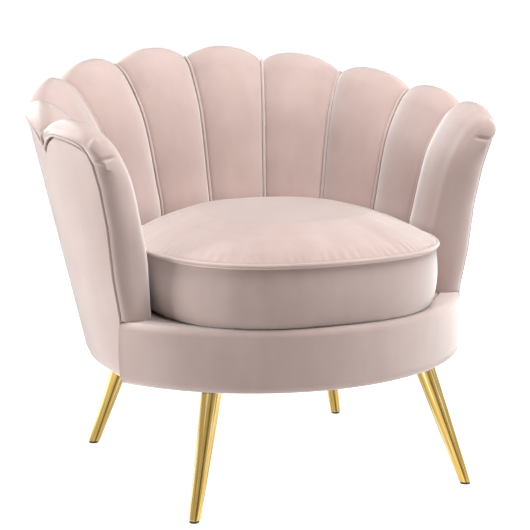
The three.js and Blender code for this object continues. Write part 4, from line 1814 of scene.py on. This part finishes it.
@dataclass
class SeatBase(ChairPart):
    """The frame nodes that keep their own shape, and the soft panels over and under the seat."""

    kept_slots: tuple[str, ...] = (
        "timber", "plywood", "board", "webbing", "steel", "zip", "dust_cloth",
    )
    deck_inset: float = 0.058
    deck_bottom: float = 0.2996
    deck_top: float = 0.322
    deck_edge: float = 0.006
    deck_mean: float = 0.3
    deck_crown: tuple[Point, ...] = ((0.9, 0.0006), (0.6, 0.0003), (0.3, 0.0), (0.0, 0.0))
    band_room: float = 0.039
    corner_steps: int = 6
    columns: int = 144
    rail_top: float = 0.297

    def dress_nodes(self) -> None:
        """Gives each kept frame node the finish of its slot."""
        finishes = vars(self.finishes)
        for part in frame["record"]["subparts"]:
            if part["material_slot"] in self.kept_slots:
                node = frame["nodes"][part["node"]]
                node.data.materials.clear()
                node.data.materials.append(finishes[part["material_slot"]])

    def deck(self) -> None:
        """Makes the lined pad that the cushion rests on."""
        tub = self.tub
        band = tub.band_reach - self.band_room - 2 * tub.seat

        def reach(angle: float) -> float:
            """The pad's outline at an angle.

            Args:
                angle: Angle from the rear.

            Returns:
                The outline's reach there.
            """
            turn = min(angle, FULL_TURN - angle)
            shell = tub.shell_reach(turn, self.rail_top) - self.deck_inset
            if turn <= tub.arm_end:
                return shell
            return min(shell + self.deck_inset, tub.band_arc(turn, band))

        profile = [(0.0, self.deck_bottom), (1.0, self.deck_bottom)]
        edge = self.deck_edge
        for turn in quarter_turns(self.corner_steps):
            share = 1 + edge * (math.cos(turn) - 1) / self.deck_mean
            profile.append((share, self.deck_top - edge * (1 - math.sin(turn))))
        profile += [(share, self.deck_top - drop) for share, drop in self.deck_crown]
        rows = len(profile) - 1

        def place(u: float, v: float) -> Vector:
            """Point on the pad.

            Args:
                u: Place across the grid, from 0 to 1.
                v: Place along the grid, from 0 to 1.

            Returns:
                The point.
            """
            share, level = profile[round(v * rows)]
            angle = FULL_TURN * u
            return tub.point(angle, reach(angle) * share, level)

        piece = new_object("deck_pad_lining", bend_grid(self.columns, rows, place))
        dress(piece, self.finishes.lining, nodes=["deck_pad"])

    def build(self) -> None:
        """Dresses the kept nodes and makes the deck."""
        self.dress_nodes()
        self.deck()


# Studio


def directly_seen(tree: bpy.types.NodeTree) -> Socket:
    """A switch that is on for what the camera sees straight, mirrored or through glass.

    Args:
        tree: The node tree that gets the switch.

    Returns:
        The switch's socket.
    """
    path = tree.nodes.new("ShaderNodeLightPath")
    seen = path.outputs["Is Camera Ray"]
    for ray in ("Is Glossy Ray", "Is Transmission Ray"):
        either = tree.nodes.new("ShaderNodeMath")
        either.operation = "MAXIMUM"
        tree.links.new(seen, either.inputs[0])
        tree.links.new(path.outputs[ray], either.inputs[1])
        seen = either.outputs[0]
    return seen


@dataclass
class Studio:
    """Camera, floor and light. None of it is part of the chair."""

    camera_place: Triple = (-1.3293, -3.0101, 0.9795)
    camera_aim: Triple = (0.40172, 0.89715, -0.18367)
    camera_roll: float = math.radians(-0.05)
    lens: float = 120.84
    sensor: float = 36.0
    view_end: float = 50.0
    floor_half: float = 30.0
    floor_drop: float = 0.0002
    floor_colour: Colour = (0.8, 0.8, 0.8)
    floor_glow: float = 0.92
    sky_colour: Colour = (1.0, 0.985, 0.97)
    sky_strength: float = 0.15
    lamp_aim: Triple = (0.0, 0.0, 0.45)

    def camera(self) -> None:
        """Stands the camera where the photo was taken."""
        data = bpy.data.cameras.new("camera")
        data.lens = self.lens
        data.sensor_width = self.sensor
        data.clip_end = self.view_end
        camera = bpy.data.objects.new("camera", data)
        bpy.context.scene.collection.objects.link(camera)
        camera.rotation_mode = "QUATERNION"
        turn = Vector(self.camera_aim).to_track_quat("-Z", "Y")
        roll = Matrix.Rotation(self.camera_roll, 3, "Z").to_quaternion()
        camera.rotation_quaternion = turn @ roll
        camera.location = self.camera_place
        bpy.context.scene.camera = camera

    def floor(self) -> None:
        """Lays a wide pale floor that the camera sees as near white."""
        bm = bmesh.new()
        bmesh.ops.create_grid(bm, x_segments=8, y_segments=8, size=self.floor_half)
        bmesh.ops.translate(bm, verts=bm.verts, vec=(0, 0, -self.floor_drop))
        floor = new_object("floor", bm)
        sheet = NodeSheet("pale_floor")
        tone = sheet.noise(1.5, 2.0)
        pale = tuple(c * 1.02 for c in self.floor_colour)
        sheet.feed("Base Color", sheet.ramp(tone, [(0.3, self.floor_colour), (0.7, pale)]))
        sheet.set(Roughness=0.9, Specular_IOR_Level=0.0, Emission_Color=(1, 1, 1, 1))
        glow = sheet.add("ShaderNodeMath", operation="MULTIPLY")
        glow.inputs[1].default_value = self.floor_glow
        sheet.link(directly_seen(sheet.tree), glow.inputs[0])
        sheet.feed("Emission Strength", glow.outputs[0])
        floor.data.materials.append(sheet.material)

    def sky(self) -> None:
        """Sets the white surround, softer on the chair than to the camera."""
        world = bpy.data.worlds.new("surround")
        bpy.context.scene.world = world
        world.use_nodes = True
        tree = world.node_tree
        tree.nodes.clear()
        mixed = tree.nodes.new("ShaderNodeMixShader")
        tree.links.new(directly_seen(tree), mixed.inputs["Fac"])
        surrounds = ((self.sky_colour, self.sky_strength), ((1.0, 1.0, 1.0), 1.0))
        for i, (colour, strength) in enumerate(surrounds, 1):
            surround = tree.nodes.new("ShaderNodeBackground")
            surround.inputs["Color"].default_value = (*colour, 1)
            surround.inputs["Strength"].default_value = strength
            tree.links.new(surround.outputs[0], mixed.inputs[i])
        out = tree.nodes.new("ShaderNodeOutputWorld")
        tree.links.new(mixed.outputs[0], out.inputs["Surface"])

    def lamp(self, name: str, place: Triple, size: Point, power: float) -> None:
        """Hangs one soft rectangular lamp aimed at the seat, which brass doesn't mirror.

        Args:
            name: The lamp's name.
            place: Where it hangs.
            size: Its width and height.
            power: Its power in watts.
        """
        data = bpy.data.lights.new(name, "AREA")
        data.shape = "RECTANGLE"
        data.size, data.size_y = size
        data.energy = power
        lamp = bpy.data.objects.new(name, data)
        lamp.location = place
        lamp.rotation_mode = "QUATERNION"
        lamp.rotation_quaternion = (Vector(self.lamp_aim) - Vector(place)).to_track_quat("-Z", "Y")
        lamp.visible_glossy = False
        bpy.context.scene.collection.objects.link(lamp)

    def build(self) -> None:
        """Sets the whole studio."""
        self.camera()
        self.floor()
        self.sky()
        self.lamp("left", (-3.0, 1.5, 0.45), (1.8, 0.6), 126)
        self.lamp("right", (2.8, -0.7, 0.5), (1.6, 0.7), 34)
        self.lamp("top", (0.35, -0.7, 3.1), (2.0, 2.0), 146)


def main() -> None:
    """Builds the chair's looks and its studio."""
    logging.basicConfig(level=logging.INFO, format="%(name)s %(message)s")
    bpy.context.scene.view_settings.view_transform = "Standard"
    Studio().build()
    finishes = Finishes()
    tub = TubForm()
    SeatBase(tub, finishes).build()
    Padding(tub, finishes).build()
    OuterCover(tub, finishes).build()
    FrontBand(tub, finishes).build()
    SeatCushion(tub, finishes).build()
    Legs(tub, finishes).build()


if __name__ == "__main__":
    main()
